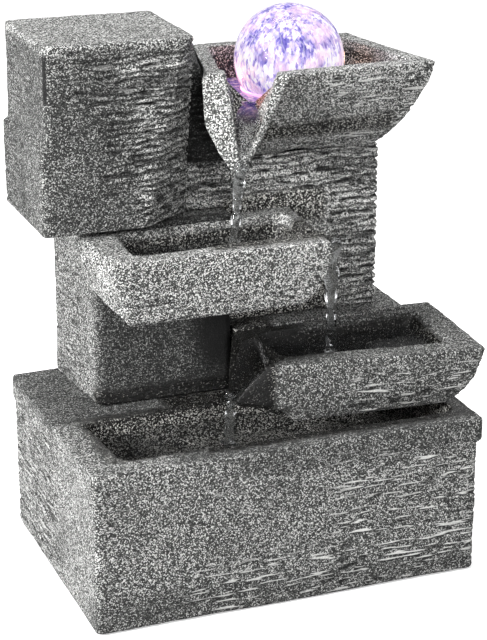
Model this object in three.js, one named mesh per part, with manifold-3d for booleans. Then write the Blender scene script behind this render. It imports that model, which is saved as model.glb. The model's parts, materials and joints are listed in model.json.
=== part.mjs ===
// Tabletop water fountain: stone-look castings stacked over a basin, three bowls with spouts, a lit
// glass ball on the top bowl, and a small submersible pump hidden in the sump under the hollow pillar.
// Millimetres, +Z up, front towards -Y. The castings are laid out about the middle of the basin.

import * as THREE from 'three';
import { mergeVertices } from 'three/addons/utils/BufferGeometryUtils.js';
import { ConvexGeometry } from 'three/addons/geometries/ConvexGeometry.js';
import Module from 'manifold-3d';

const wasm = await Module();
wasm.setup();

// ---------------------------------------------------------------- driving dimensions

const FOOTPRINT_SHIFT_X = -6.7; // puts the middle of the whole object over the origin
const JOINT_GAP = 0.3; // bedding gap between castings that are bonded together
const WALL = 6;
const CORNER = 3; // radius of the upright corners

const BASIN = {
  left: -106, right: 108.5, front: -76.5, back: 75.5, foot: 0.5, top: 87.6, rim: 13, lip: 2.6,
};
const PAD = { radius: 9, recess: 2.5 };
const PAD_CORNERS = [
  { name: 'front_left', x: -88, y: -58 },
  { name: 'front_right', x: 88, y: -58 },
  { name: 'rear_left', x: -88, y: 58 },
  { name: 'rear_right', x: 88, y: 58 },
];
const DECK_UNDERSIDE = 76;
const POOL = { left: -89, right: 98, front: -60, back: -4 };
const PAN = { floor: 68, under: 62, wall: 6, drains: [-66, -36, 30, 62], reach: 6 }; // under the pool
const SUMP = { left: -99, right: 101, front: -69, back: 68, floor: 9 };
const SHAFT_HOLE = { left: -64, right: -12, front: 22, back: 60 }; // service hole through the deck
const PILLAR = { right: 0, front: 10, back: 75, top: 186 };
const BLOCK = { left: -105.5, right: -22, front: 0, back: 75, top: 284, step: 232, inset: 2.5 };
const TOWER = { left: -21.7, right: 90, front: 22, back: 75, foot: 122.3, top: 213.2 };
const PEDESTAL = { right: 102, front: 10, back: 72, top: 122 };
const TOP_RIM = 264;
const NECK_TOP = 258; // stone between the block and the top bowl
const MIDDLE_RIM = 184;
const LOWER_RIM = 121;
const BALL = { x: 39.3, y: 30, z: 262, radius: 29.3 };
const PUMP = { x: -33, z: 32, front: 25.7, back: 62, halfX: 23, low: 14.3, high: 50 };
const RISER = { outer: 5, bore: 3.4 };
const MANIFOLD = { cup: 12, inner: 10.4, under: 216.6, floor: 218.4, lip: 228.4, spigot: 3.1, back: 36 };
const TOP_FLOOR = 229;
const LEAD_RADIUS = 1.6;
const LEAD_EXIT = { x: BALL.x + 8, y: BALL.y + 1 }; // where the light lead leaves the cup

// ---------------------------------------------------------------- finishes

const finish = (color, roughness, metalness = 0) => ({ color, roughness, metalness });
const STONE = finish(0x5c5f60, 0.9);
const STONE_WET = finish(0x3f4243, 0.6);
const BLACK_PLASTIC = finish(0x17181a, 0.5);
const GREY_PLASTIC = finish(0x8a8d90, 0.5);
const CLEAR_PLASTIC = finish(0xd8e2e6, 0.15);
const BLACK_RUBBER = finish(0x202020, 0.85);
const SPONGE = finish(0x2b2d30, 1);
const CERAMIC = finish(0xeeeeea, 0.3);
const MAGNET = finish(0x3a3a3d, 0.5, 0.3);
const GLASS = finish(0xd9d6ff, 0.05);
const BOARD = finish(0x0f5a34, 0.5);

// ---------------------------------------------------------------- solids

const fountain = new THREE.Group();
fountain.position.x = FOOTPRINT_SHIFT_X;

/** A manifold solid from any closed three.js geometry. */
function solid(geometry) {
  const bare = geometry.clone();
  for (const name of Object.keys(bare.attributes)) {
    if (name !== 'position') bare.deleteAttribute(name);
  }
  const merged = mergeVertices(bare, 1e-4);
  const vertProperties = Float32Array.from(merged.attributes.position.array);
  const triVerts = Uint32Array.from(merged.index.array);
  return new wasm.Manifold(new wasm.Mesh({ numProp: 3, vertProperties, triVerts }));
}

/** Adds one named piece, from a manifold solid, to the fountain. */
function piece(name, body, look) {
  const { vertProperties, triVerts } = body.getMesh();
  const geometry = new THREE.BufferGeometry();
  geometry.setAttribute('position', new THREE.BufferAttribute(Float32Array.from(vertProperties), 3));
  geometry.setIndex(new THREE.BufferAttribute(Uint32Array.from(triVerts), 1));
  geometry.computeVertexNormals();
  const mesh = new THREE.Mesh(geometry, new THREE.MeshStandardMaterial(look));
  mesh.name = name;
  fountain.add(mesh);
}

/** A box between two corners. */
function box([x0, y0, z0], [x1, y1, z1]) {
  const geometry = new THREE.BoxGeometry(x1 - x0, y1 - y0, z1 - z0);
  geometry.translate((x0 + x1) / 2, (y0 + y1) / 2, (z0 + z1) / 2);
  return solid(geometry);
}

/** The convex solid around a list of [x, y, z] points. */
function hull(points) {
  return solid(new ConvexGeometry(points.map((point) => new THREE.Vector3(...point))));
}

/** Points of a level outline whose corners are rounded by arcs. */
function roundedRing(corners, z, radius = CORNER, steps = 4) {
  const count = corners.length;
  return corners.flatMap((corner, i) => {
    const here = new THREE.Vector2(...corner);
    const before = new THREE.Vector2(...corners[(i + count - 1) % count]).sub(here).normalize();
    const after = new THREE.Vector2(...corners[(i + 1) % count]).sub(here).normalize();
    const half = before.angleTo(after) / 2;
    const middle = before.clone().add(after).normalize().multiplyScalar(radius / Math.sin(half));
    const centre = here.clone().add(middle);
    const start = before.multiplyScalar(radius / Math.tan(half)).add(here).sub(centre);
    const end = after.multiplyScalar(radius / Math.tan(half)).add(here).sub(centre);
    const sweep = Math.atan2(start.cross(end), start.dot(end));
    return Array.from({ length: steps + 1 }, (_, k) => {
      const arm = start.clone().rotateAround(new THREE.Vector2(), (sweep * k) / steps);
      return [centre.x + arm.x, centre.y + arm.y, z];
    });
  });
}

/** An upright or tapered block with rounded corners between two level outlines. */
function taper(lowCorners, low, highCorners, high, radius = CORNER) {
  return hull([...roundedRing(lowCorners, low, radius), ...roundedRing(highCorners, high, radius)]);
}

const rectangle = (x0, y0, x1, y1) => [[x0, y0], [x1, y0], [x1, y1], [x0, y1]];

/** A solid of revolution about an upright axis through (x, y); profile points are [radius, z]. */
function turned(profile, x = 0, y = 0, segments = 32) {
  const points = profile.map(([radius, z]) => new THREE.Vector2(radius, z));
  const geometry = new THREE.LatheGeometry(points, segments);
  geometry.rotateX(Math.PI / 2);
  geometry.translate(x, y, 0);
  const body = solid(geometry);
  return body.volume() < 0 ? solid(flipped(geometry)) : body;
}

/** The same geometry with its faces turned over. */
function flipped(geometry) {
  const copy = geometry.clone();
  const index = copy.index.array;
  for (let i = 0; i < index.length; i += 3) {
    [index[i + 1], index[i + 2]] = [index[i + 2], index[i + 1]];
  }
  return copy;
}

/** A closed ring profile between two radii and two heights. */
const ring = (inner, outer, low, high) => [
  [inner, low],
  [outer, low],
  [outer, high],
  [inner, high],
  [inner, low],
];

/** A full disc profile that starts and ends on the axis. */
const disc = (radius, low, high) => [[0, low], [radius, low], [radius, high], [0, high]];

/** Lays a body turned about the upright axis along +Y, its axis through (x, z). */
const alongY = (body, x, z) => body.rotate([-90, 0, 0]).translate([x, 0, z]);

/** A tube, or a solid rod when bore is 0, along a smooth curve through the points. */
function tube(points, outer, bore, steps, sides) {
  const section = new THREE.Shape();
  section.absarc(0, 0, outer, 0, Math.PI * 2, false);
  if (bore > 0) {
    const hole = new THREE.Path();
    hole.absarc(0, 0, bore, 0, Math.PI * 2, true);
    section.holes.push(hole);
  }
  const extrudePath = new THREE.CatmullRomCurve3(
    points.map((point) => new THREE.Vector3(...point)), false, 'centripetal',
  );
  const options = { steps, extrudePath, curveSegments: sides, bevelEnabled: false };
  return solid(new THREE.ExtrudeGeometry(section, options));
}

const subtractAll = (body, cuts) => cuts.reduce((left, cut) => left.subtract(cut), body);
const addAll = (bodies) => bodies.reduce((left, body) => left.add(body));

// ---------------------------------------------------------------- stone castings

/** The tub: a proud rim band, a shallow pool in front that drains into the sump, and a deck behind. */
function basin() {
  const { left, right, front, back, foot, top, rim, lip } = BASIN;
  const band = rectangle(left, front, right, back);
  const waist = rectangle(left + 0.5, front + 0.5, right - lip, back - lip);
  const body = taper(waist, foot, waist, top - rim / 2).add(taper(band, top - rim, band, top));
  const pocket = disc(PAD.radius + 0.4, 0, PAD.recess);
  const padPockets = PAD_CORNERS.map(({ x, y }) => turned(pocket, x, y, 24));
  const pan = POOL.back + PAN.wall;
  const drains = PAN.drains.map((x) => box(
    [x - PAN.reach, POOL.back - 9, PAN.under - 1], [x + PAN.reach, POOL.back - 4, PAN.floor + 1],
  ));
  const poolOutline = [
    [POOL.left + 4, POOL.front],
    [POOL.right, POOL.front],
    [POOL.right, POOL.back],
    [-8, POOL.back],
    [POOL.left, POOL.back - 6],
  ];
  return subtractAll(body, [
    box([SUMP.left, SUMP.front, SUMP.floor], [SUMP.right, pan + 1, PAN.under]),
    box([SUMP.left, pan, SUMP.floor], [SUMP.right, SUMP.back, DECK_UNDERSIDE]),
    taper(poolOutline, PAN.floor, poolOutline, top + 1, 4),
    ...drains,
    box([SHAFT_HOLE.left, SHAFT_HOLE.front, DECK_UNDERSIDE - 1],
      [SHAFT_HOLE.right, SHAFT_HOLE.back, top + 1]),
    ...padPockets,
  ]);
}

/** Outline of the pillar, grown by a gap on every side, between two heights. */
function pillarOutline(gap, low, high) {
  const outline = [
    [-76 - gap, PILLAR.front - gap],
    [PILLAR.right + gap, PILLAR.front - gap],
    [PILLAR.right + gap, PILLAR.back + gap],
    [-81 - gap, PILLAR.back + gap],
  ];
  return taper(outline, low, outline, high, 4);
}

const HATCH = { left: -64, right: -14, low: 116, high: 178, rebate: 4, depth: 4 };
const TUBE_DOOR = { front: 34, back: 62, low: 150, high: 179 }; // pillar to tower
const GROMMET = { x: -39, z: 101, waist: 4.9, flange: 8, bore: 3.1 };

/** The hollow pillar, open below, with the service hatch behind and a door to the tower. */
function pillar() {
  const body = pillarOutline(0, BASIN.top + JOINT_GAP, PILLAR.top);
  const { left, right, low, high, rebate, depth } = HATCH;
  const outside = PILLAR.back + 1;
  return subtractAll(body, [
    box([-69, PILLAR.front + WALL, BASIN.top], [-9, PILLAR.back - 8, PILLAR.top - WALL]),
    box([left, 60, low], [right, outside, high]),
    box([left - rebate, PILLAR.back - depth, low - rebate], [right + rebate, outside, high + rebate]),
    box([-12, TUBE_DOOR.front, TUBE_DOOR.low], [1, TUBE_DOOR.back, TUBE_DOOR.high]),
    alongY(turned(disc(GROMMET.waist + 0.3, 60, outside)), GROMMET.x, GROMMET.z),
    alongY(turned(disc(GROMMET.flange + 0.4, PILLAR.back - 2.8, outside)), GROMMET.x, GROMMET.z),
    box([-60, 24, PILLAR.top - WALL - 1], [-38, 56, PILLAR.top + 1]),
  ]);
}

/** Lift-off hatch that closes the pillar's back, with a spigot and a finger scoop. */
function rearCover() {
  const { left, right, low, high, rebate, depth } = HATCH;
  const gap = 0.4;
  const edge = rebate - gap;
  const skin = PILLAR.back - depth + gap;
  const panel = box([left - edge, skin, low - edge], [right + edge, PILLAR.back, high + edge]);
  const spigot = box([left + gap, 65, low + gap], [right - gap, skin + 1, high - gap]);
  const hollow = box([left + 4, 64, low + 4], [right - 4, skin - 0.6, high - 4]);
  const scoop = hull([
    [-52, 76, 168], [-26, 76, 168], [-52, 76, 156], [-26, 76, 156],
    [-49, 72.6, 160], [-29, 72.6, 160], [-49, 72.6, 157], [-29, 72.6, 157],
  ]);
  return subtractAll(panel.add(spigot), [hollow, scoop]);
}

/** The big square block at the top left; its front right corner is cut back towards the tower. */
function block() {
  const { left, right, front, back, top, step, inset } = BLOCK;
  const low = PILLAR.top + JOINT_GAP;
  const outline = (x, shoulder, cut) => [
    [x, front], [shoulder, front], [right, cut], [right, back], [x, back],
  ];
  const lower = taper(outline(left, -50, 21), low, outline(left, -42, 15), step, 3);
  const upper = taper(outline(left + inset, -42, 15), step - 4, outline(left + inset, right - 5, 5), top, 3);
  const room = [[left + 9, 8], [-54, 8], [right - WALL, 29], [right - WALL, 68], [left + 9, 68]];
  return subtractAll(lower.add(upper), [
    taper(room, low + WALL, room, top - WALL, 2),
    box([-60, 24, low - 1], [-38, 56, low + WALL + 1]),
  ]);
}

/** The hollow slab behind the bowls; its upper part reaches left to the block. */
function tower() {
  const { left, right, front, back, foot, top } = TOWER;
  const shelf = PILLAR.top + JOINT_GAP;
  const column = rectangle(JOINT_GAP, front, right, back);
  const crown = rectangle(left, front, right, back);
  const neck = rectangle(left, front, 16, back - 3);
  const slab = taper(column, foot, column, top, 2).add(taper(crown, shelf, crown, top, 2));
  const bowl = topBowlOuter();
  const gap = JOINT_GAP + 0.05;
  const aroundBowl = [[-gap, 0, 0], [0, 0, -gap], [0, -gap, 0], [0, gap, 0]]
    .map((step) => bowl.translate(step));
  const body = slab.add(subtractAll(taper(neck, top - 4, neck, NECK_TOP, 2), aroundBowl));
  return subtractAll(body, [
    box([WALL, front + 7, foot + WALL], [right - WALL, back - WALL, top - 7]),
    box([-1, TUBE_DOOR.front, TUBE_DOOR.low], [WALL + 1, TUBE_DOOR.back, TUBE_DOOR.high]),
    turned(disc(12, top - 8, top + 1), BALL.x, MANIFOLD.back + 1),
    box([18, 40, foot - 1], [72, 60, foot + WALL + 1]),
  ]);
}

/** The low ledge behind the lower bowl that the tower stands on. */
function pedestal() {
  const { right, front, back, top } = PEDESTAL;
  const low = BASIN.top + JOINT_GAP;
  const outline = rectangle(JOINT_GAP, front, right, back);
  return subtractAll(taper(outline, low, outline, top, 3), [
    box([WALL, front + WALL, low - 1], [right - WALL, back - WALL, top - WALL]),
    box([18, 40, top - WALL - 1], [72, 60, top + 1]),
  ]);
}

/** Outside of the top bowl: walls that lean out, and a keel under the spout at its front left. */
function topBowlOuter() {
  const low = TOWER.top + JOINT_GAP;
  const shell = hull([
    ...roundedRing([[12, 21], [86, 21], [84, 72], [12, 72]], low, 4),
    ...roundedRing([[-17, 4], [14, -10], [23, -14], [107.5, -9.5], [92, 74], [0, 74]], TOP_RIM, 2),
    ...[[104, -8.5, 253], [101, -3.5, 244], [97.5, 1.5, 234.5], [92.5, 7.5, 226], [88, 13, 219]]
      .flatMap(([x, y, z]) => [[x, y, z], [20, y - 1, z], [x - 12, 72, z]]),
  ]);
  const spout = hull([
    [23, -14, TOP_RIM], [15, -10, TOP_RIM], [-20, 2.5, TOP_RIM - 3],
    [-22.5, -8.5, 240.5], [-18, -18.5, 226.5],
    [-13, -24, 218], [-6, -24, 218], [-3.5, -22.5, 220.5], [11.5, -17.5, 243],
    [16, 26, low], [2, 24, 222], [-12, 22, TOP_RIM - 2], [26, 20, TOP_RIM - 2],
  ]);
  return shell.add(spout);
}

/** The top bowl with its pool, the deep V of its spout and the hole for the light. */
function topBowl() {
  const low = TOWER.top + JOINT_GAP;
  const room = hull([
    ...roundedRing([[22, 11.5], [82, 11.5], [76, 60], [16, 60]], TOP_FLOOR, 4),
    ...roundedRing([[-7, 10], [20, -4], [97, 0], [84, 65], [6, 65]], TOP_RIM + 1, 4),
  ]);
  const channel = hull([
    [-10, -30, 221.5], [-7.4, -30, 221.5], [0, 10, 240], [7, 8, 240],
    [-12, -40, TOP_RIM + 4], [5, -40, TOP_RIM + 4], [-8, 0, TOP_RIM + 4], [15, -9, TOP_RIM + 4],
    [0, 24, TOP_RIM + 4], [28, 14, TOP_RIM + 4],
  ]);
  return subtractAll(topBowlOuter(), [
    room,
    channel,
    turned(disc(MANIFOLD.cup + 0.4, low - 1, TOP_FLOOR + 1), BALL.x, BALL.y),
    turned(disc(12, low - 1, MANIFOLD.under + 0.5), BALL.x, MANIFOLD.back + 1),
  ]);
}

/** The middle bowl, wrapped round the pillar's front, with a small lip at its right end. */
function middleBowl() {
  const shell = hull([
    [-81, -43, MIDDLE_RIM], [32, -46, MIDDLE_RIM], [36, 22, MIDDLE_RIM], [-84, 16, MIDDLE_RIM],
    [-82, -43.6, 178], [33.4, -46.6, 178], [31, -46, 168], [27, -45, 158],
    [-84, 15, 176], [-81, 10, 158], [-79, -13, 154],
    [-74.5, -44.5, 150.3], [18, -43.5, 150.3], [24, 21, 152], [-79, 12, 156],
  ]);
  const lip = hull([
    [30, -34, 183], [30, -12, 183], [41, -28, 180], [41, -18, 180],
    [28, -32, 160], [28, -14, 160], [40, -26, 170], [40, -20, 170],
  ]);
  const room = hull([
    ...roundedRing([[-69, -33], [26, -28], [29, 10], [-67, 4.5]], MIDDLE_RIM + 1, 5),
    ...roundedRing([[-60, -29], [18, -26], [20, 6], [-58, 2]], 160, 5),
  ]);
  const overflow = hull([
    [14, -27, MIDDLE_RIM + 1], [14, -19, MIDDLE_RIM + 1], [46, -27, MIDDLE_RIM + 1],
    [46, -19, MIDDLE_RIM + 1], [14, -25, 178], [14, -21, 178], [46, -25, 175], [46, -21, 175],
  ]);
  const towerFace = box([JOINT_GAP / 2, TOWER.front - JOINT_GAP, 120], [95, 60, 220]);
  return subtractAll(shell.add(lip), [room, overflow, towerFace, pillarOutline(JOINT_GAP, 100, 220)]);
}

/** The lower bowl, turned a little clockwise, with a V spout that pours left into the pool. */
function lowerBowl() {
  const low = BASIN.top + JOINT_GAP + 0.8;
  const shell = hull([
    ...roundedRing([[1, -47.5], [115.5, -63], [119.5, 17], [1, 20]], LOWER_RIM, 2),
    ...[[113, -62, 113], [111, -60, 104.5], [106.5, -58, 98], [101, -55, 91.5], [98, -53, low]]
      .flatMap(([x, y, z]) => [[x, y, z], [x + 4, 12, z]]),
    [2, -48, 112], [5, -49, 100], [12, -49, low], [8, 9, low],
  ]);
  const spout = hull([
    [4, -47, LOWER_RIM], [-4, -45.5, LOWER_RIM], [-2, 8, LOWER_RIM], [10, 9.7, LOWER_RIM],
    [-20, -46, 103], [-20, -34, 103], [-17, -42, 99], [14, -46, 93], [10, 4, 93],
  ]);
  const room = hull([
    ...roundedRing([[10, -35], [102, -46], [106, 5], [10, 2]], LOWER_RIM + 1, 5),
    ...roundedRing([[15, -32], [92, -41], [96, 1], [15, -2]], 97, 5),
  ]);
  const channel = hull([
    [-26, -43, 104.5], [-26, -37, 104.5], [-26, -56, 132], [-26, -24, 132],
    [10, -38, 108], [10, -12, 108], [10, -40, 132], [10, 4, 132], [-2, 4, 132],
  ]);
  const ledgeFace = box([JOINT_GAP / 2, PEDESTAL.front - JOINT_GAP, 80],
    [PEDESTAL.right + JOINT_GAP, 80, 140]);
  return subtractAll(shell.add(spout), [room, channel, ledgeFace, pillarOutline(JOINT_GAP, 80, 140)]);
}

// ---------------------------------------------------------------- feet and grommet

/** A turned rubber pad under one corner of the basin. */
const footPad = (x, y) => turned(
  [[0, 0], [PAD.radius - 0.6, 0], [PAD.radius, 0.5], [PAD.radius, PAD.recess - 0.3], [0, PAD.recess - 0.3]],
  x, y, 24,
);

/** The rubber ring that lines the cable hole in the pillar's back wall. */
function grommet() {
  const { waist, flange, bore, x, z } = GROMMET;
  const inside = PILLAR.back - 8.3;
  const seat = PILLAR.back - 2.5;
  const profile = [
    [bore, inside - 2.4], [waist + 1.9, inside - 2], [waist + 1.9, inside], [waist, inside],
    [waist, seat], [flange, seat], [flange, PILLAR.back - 0.6], [flange - 0.8, PILLAR.back],
    [bore + 0.6, PILLAR.back], [bore, PILLAR.back - 0.6], [bore, inside - 2.4],
  ];
  return alongY(turned(profile), x, z);
}

// ---------------------------------------------------------------- pump

const VOLUTE = { radius: 13, front: 36, back: 43 };
const WELL = { radius: 8.4, back: 59 };
const OUTLET = { y: 40.5, hole: 4.3 };

/** The pump's main body: filter chamber in front, volute and rotor well behind, outlet on top. */
function pumpHousing() {
  const { x, z, front, back, halfX, low, high } = PUMP;
  const outline = rectangle(x - halfX, front, x + halfX, back);
  const boss = turned(disc(7, high - 1, high + 3), x, OUTLET.y);
  return subtractAll(taper(outline, low, outline, high, 3).add(boss), [
    box([x - 19, front - 1, 18], [x + 19, VOLUTE.front, 46]),
    alongY(turned(disc(VOLUTE.radius, VOLUTE.front - 1, VOLUTE.back)), x, z),
    alongY(turned(disc(WELL.radius, VOLUTE.back - 1, WELL.back)), x, z),
    turned(disc(OUTLET.hole, 38, high + 4), x, OUTLET.y),
  ]);
}

/** The plate that closes the volute, with inlet holes round the shaft's front bearing. */
function voluteCover() {
  const { x, z } = PUMP;
  const inlets = [0, 1, 2, 3, 4].map((i) => {
    const angle = (i * Math.PI * 2) / 5;
    const hole = turned(disc(1.7, 30, 40), 6 * Math.cos(angle), 6 * Math.sin(angle), 12);
    return alongY(hole, x, z);
  });
  const plate = turned(disc(13.6, 33.2, 35.7));
  return subtractAll(alongY(plate, x, z), [alongY(turned(disc(2.8, 30, 40)), x, z), ...inlets]);
}

/** The rotor: a magnet sleeve with a hub and straight vanes in the volute. */
function impeller() {
  const { x, z } = PUMP;
  const vanes = [0, 1, 2, 3, 4, 5]
    .map((i) => box([1, -0.6, 37.6], [11.2, 0.6, 42.6]).rotate([0, 0, i * 60]));
  const hub = turned(disc(3.6, 37.2, 45));
  const magnet = turned(disc(7.6, 43.6, 57));
  const body = addAll([magnet, hub, ...vanes]).subtract(turned(disc(1.08, 30, 70), 0, 0, 24));
  return alongY(body, x, z);
}

/** The fixed ceramic rod that the rotor turns on. */
const impellerShaft = () => alongY(turned(disc(1, 35.4, 58.4), 0, 0, 24), PUMP.x, PUMP.z);

/** A rubber bush that holds one end of the rod. */
const pumpBush = (outer, front, back) => alongY(
  turned(ring(1.3, outer, front, back), 0, 0, 24), PUMP.x, PUMP.z,
);

/** The grille that clips over the pump's front; upright slots let the water in. */
function intakeCover() {
  const { x, front, halfX, low, high } = PUMP;
  const face = 13;
  const rear = front - 0.4;
  const outline = rectangle(x - halfX, face, x + halfX, rear);
  const slots = [-4, -3, -2, -1, 0, 1, 2, 3, 4].map((i) => {
    const middle = x + i * 4;
    return box([middle - 1, face - 1, 19], [middle + 1, face + 3, 39.5]);
  });
  return subtractAll(taper(outline, low, outline, high, 3), [
    box([x - halfX + 2, face + 2, low + 2], [x + halfX - 2, rear + 1, high - 2]),
    box([x - 14, face - 1, 42], [x + 14, face + 3, 46]),
    ...slots,
  ]);
}

/** The block of open foam between the grille and the volute. */
const filterSponge = () => box([PUMP.x - 18.5, 15.4, 18.4], [PUMP.x + 18.5, 32.8, 45.6]);

/** The plate that slides across the flow window, with a thumb rib. */
function flowSlider() {
  const plate = box([PUMP.x - 13, 11.2, 41], [PUMP.x - 1, 12.7, 47]);
  const rib = box([PUMP.x - 8, 9.4, 41.5], [PUMP.x - 6, 12, 46.5]);
  return plate.add(rib);
}

/** One suction cup under the pump. */
const suctionCup = (x, y) => turned(
  [[0, 10.8], [3, 10.2], [6, 9.3], [5.8, 10.2], [3.2, 12], [2, 14], [0, 14]], x, y, 20,
);

/** The stepped nozzle pressed into the outlet boss. */
const outletNozzle = () => turned([
  [2.2, 44], [4, 44], [4, 53.3], [6.4, 53.3], [6.4, 55], [3.2, 55], [3.2, 66], [2.8, 66.5],
  [2.2, 66.5], [2.2, 44],
], PUMP.x, OUTLET.y, 24);

// ---------------------------------------------------------------- riser, light and ball

/** The hose from the pump up the pillar, through the side door and up to the top bowl. */
const riserTube = () => tube([
  [PUMP.x, OUTLET.y, 55.4], [PUMP.x, OUTLET.y, 80], [PUMP.x, OUTLET.y + 1, 120],
  [PUMP.x + 2, OUTLET.y + 3, 146], [-18, 46, 162], [0, 47, 167], [20, 44, 172],
  [34, 40, 182],
  ...[197, 207, 216.2].map((height) => [BALL.x, MANIFOLD.back, height]),
], RISER.outer, RISER.bore, 44, 6);

/** The cup under the ball that spreads the water, with its spigot set back and a gland for the lead. */
function jetManifold() {
  const { cup, inner, under, floor, lip, spigot, back } = MANIFOLD;
  const body = turned([
    [0, under], [cup, under], [cup, lip], [inner, lip], [inner, floor], [0, floor],
  ], BALL.x, BALL.y);
  const nozzle = turned(disc(spigot, 207, under + 0.4), BALL.x, back, 24);
  const gland = turned(disc(2.6, under - 2, under + 0.4), LEAD_EXIT.x, LEAD_EXIT.y, 16);
  return addAll([body, nozzle, gland]).subtract(turned(disc(2.1, 201, floor + 1), BALL.x, back, 24));
}

/** The sealed cup that holds the light, on three small feet. */
function lightHousing() {
  const low = MANIFOLD.floor + 2;
  const cup = [[0, low], [7.4, low], [7.4, 227.6], [6.2, 227.6], [6.2, 222], [0, 222]];
  const feet = [30, 150, 270].map((angle) => box([4, -1, MANIFOLD.floor + 0.3], [7, 1, low + 0.5])
    .rotate([0, 0, angle]).translate([BALL.x, BALL.y, 0]));
  return addAll([turned(cup, BALL.x, BALL.y), ...feet]);
}

/** The round board with its three diodes. */
function lightBoard() {
  const diodes = [30, 150, 270].map((angle) => box([1.6, -1.3, 223], [4.6, 1.3, 225.2])
    .rotate([0, 0, angle]).translate([BALL.x, BALL.y, 0]));
  return addAll([turned(disc(5.8, 222.4, 223.6), BALL.x, BALL.y), ...diodes]);
}

/** The clear domed cap over the diodes. */
const lightLens = () => turned([
  [0, 226.2], [5.6, 226.2], [5.6, 228.6], [7.4, 228.6], [7.4, 229.6], [6, 230.6], [3.5, 231.3], [0, 231.6],
], BALL.x, BALL.y);

/** The sealing ring between the cap and the housing. */
const lensSeal = () => turned(ring(5.9, 7.2, 227.9, 228.3), BALL.x, BALL.y);

/** The clear ring round the light that centres the ball; its holes are the jets. */
function ballSeat() {
  const low = TOP_FLOOR + 0.3;
  const holes = Array.from({ length: 8 }, (_, i) => {
    const angle = (i * Math.PI * 2) / 8;
    return turned(disc(0.8, 220, 240), BALL.x + 9.4 * Math.cos(angle), BALL.y + 9.4 * Math.sin(angle), 10);
  });
  const body = turned([
    [7.8, low], [16.6, low], [16.6, 235.2], [15.2, 235.4], [13.2, 231.4], [7.8, 230.9], [7.8, low],
  ], BALL.x, BALL.y);
  return subtractAll(body, holes);
}

/** The glass ball. */
function glassBall() {
  const geometry = new THREE.SphereGeometry(BALL.radius, 32, 20);
  geometry.rotateX(Math.PI / 2);
  geometry.translate(BALL.x, BALL.y, BALL.z);
  return solid(geometry);
}

/** The light's lead, from the gland under the cup back to the pump. */
const lightLead = () => tube([
  [LEAD_EXIT.x, LEAD_EXIT.y, MANIFOLD.under - 2.5], [LEAD_EXIT.x, LEAD_EXIT.y, MANIFOLD.under - 6],
  [LEAD_EXIT.x + 1, LEAD_EXIT.y + 3, 205], [48, 50, 192], [30, 56, 184],
  [10, 57, 175], [-8, 57, 171], [-24, 56, 160], [-40, 54, 140], [-46, 52, 100],
  [-46, 50, 66], [-46, 50, PUMP.high + 0.3],
], LEAD_RADIUS, 0, 60, 4);

// ---------------------------------------------------------------- assembly

piece('basin_casting', basin(), STONE);
piece('pillar_casting', pillar(), STONE);
piece('block_casting', block(), STONE);
piece('tower_casting', tower(), STONE);
piece('pedestal_casting', pedestal(), STONE);
piece('top_bowl', topBowl(), STONE);
piece('middle_bowl', middleBowl(), STONE);
piece('lower_bowl', lowerBowl(), STONE_WET);
piece('rear_cover', rearCover(), STONE);
piece('cable_grommet', grommet(), BLACK_RUBBER);

for (const { name, x, y } of PAD_CORNERS) {
  piece(`foot_${name}`, footPad(x, y), BLACK_RUBBER);
  const cup = suctionCup(PUMP.x + Math.sign(x) * 16, 44 + Math.sign(y) * 12);
  piece(`suction_cup_${name}`, cup, BLACK_RUBBER);
}

piece('pump_housing', pumpHousing(), BLACK_PLASTIC);
piece('volute_cover', voluteCover(), BLACK_PLASTIC);
piece('impeller', impeller(), MAGNET);
piece('impeller_shaft', impellerShaft(), CERAMIC);
piece('shaft_bush_front', pumpBush(2.5, 34, 36.4), BLACK_RUBBER);
piece('shaft_bush_rear', pumpBush(3.4, 57.4, 58.7), BLACK_RUBBER);
piece('intake_cover', intakeCover(), BLACK_PLASTIC);
piece('filter_sponge', filterSponge(), SPONGE);
piece('flow_slider', flowSlider(), GREY_PLASTIC);
piece('outlet_nozzle', outletNozzle(), BLACK_PLASTIC);
piece('riser_tube', riserTube(), CLEAR_PLASTIC);
piece('jet_manifold', jetManifold(), BLACK_PLASTIC);
piece('light_housing', lightHousing(), BLACK_PLASTIC);
piece('light_board', lightBoard(), BOARD);
piece('light_lens', lightLens(), CLEAR_PLASTIC);
piece('lens_seal', lensSeal(), BLACK_RUBBER);
piece('ball_seat', ballSeat(), CLEAR_PLASTIC);
piece('light_lead', lightLead(), BLACK_RUBBER);
piece('glass_ball', glassBall(), GLASS);

export default fountain;
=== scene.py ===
"""The look of a tabletop water fountain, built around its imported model.

Stone-look castings get a sandy, chiselled skin, the ball its lit crackle, and the bowls their water.
Lengths inside the classes are millimetres from the middle of the basin, with +X to the right and +Y to
the back.
"""

import json
import logging
import math
from collections.abc import Sequence
from dataclasses import dataclass
from enum import Enum
from typing import ClassVar

import bmesh
import bpy
import numpy as np
from mathutils import Matrix, Vector


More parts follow.
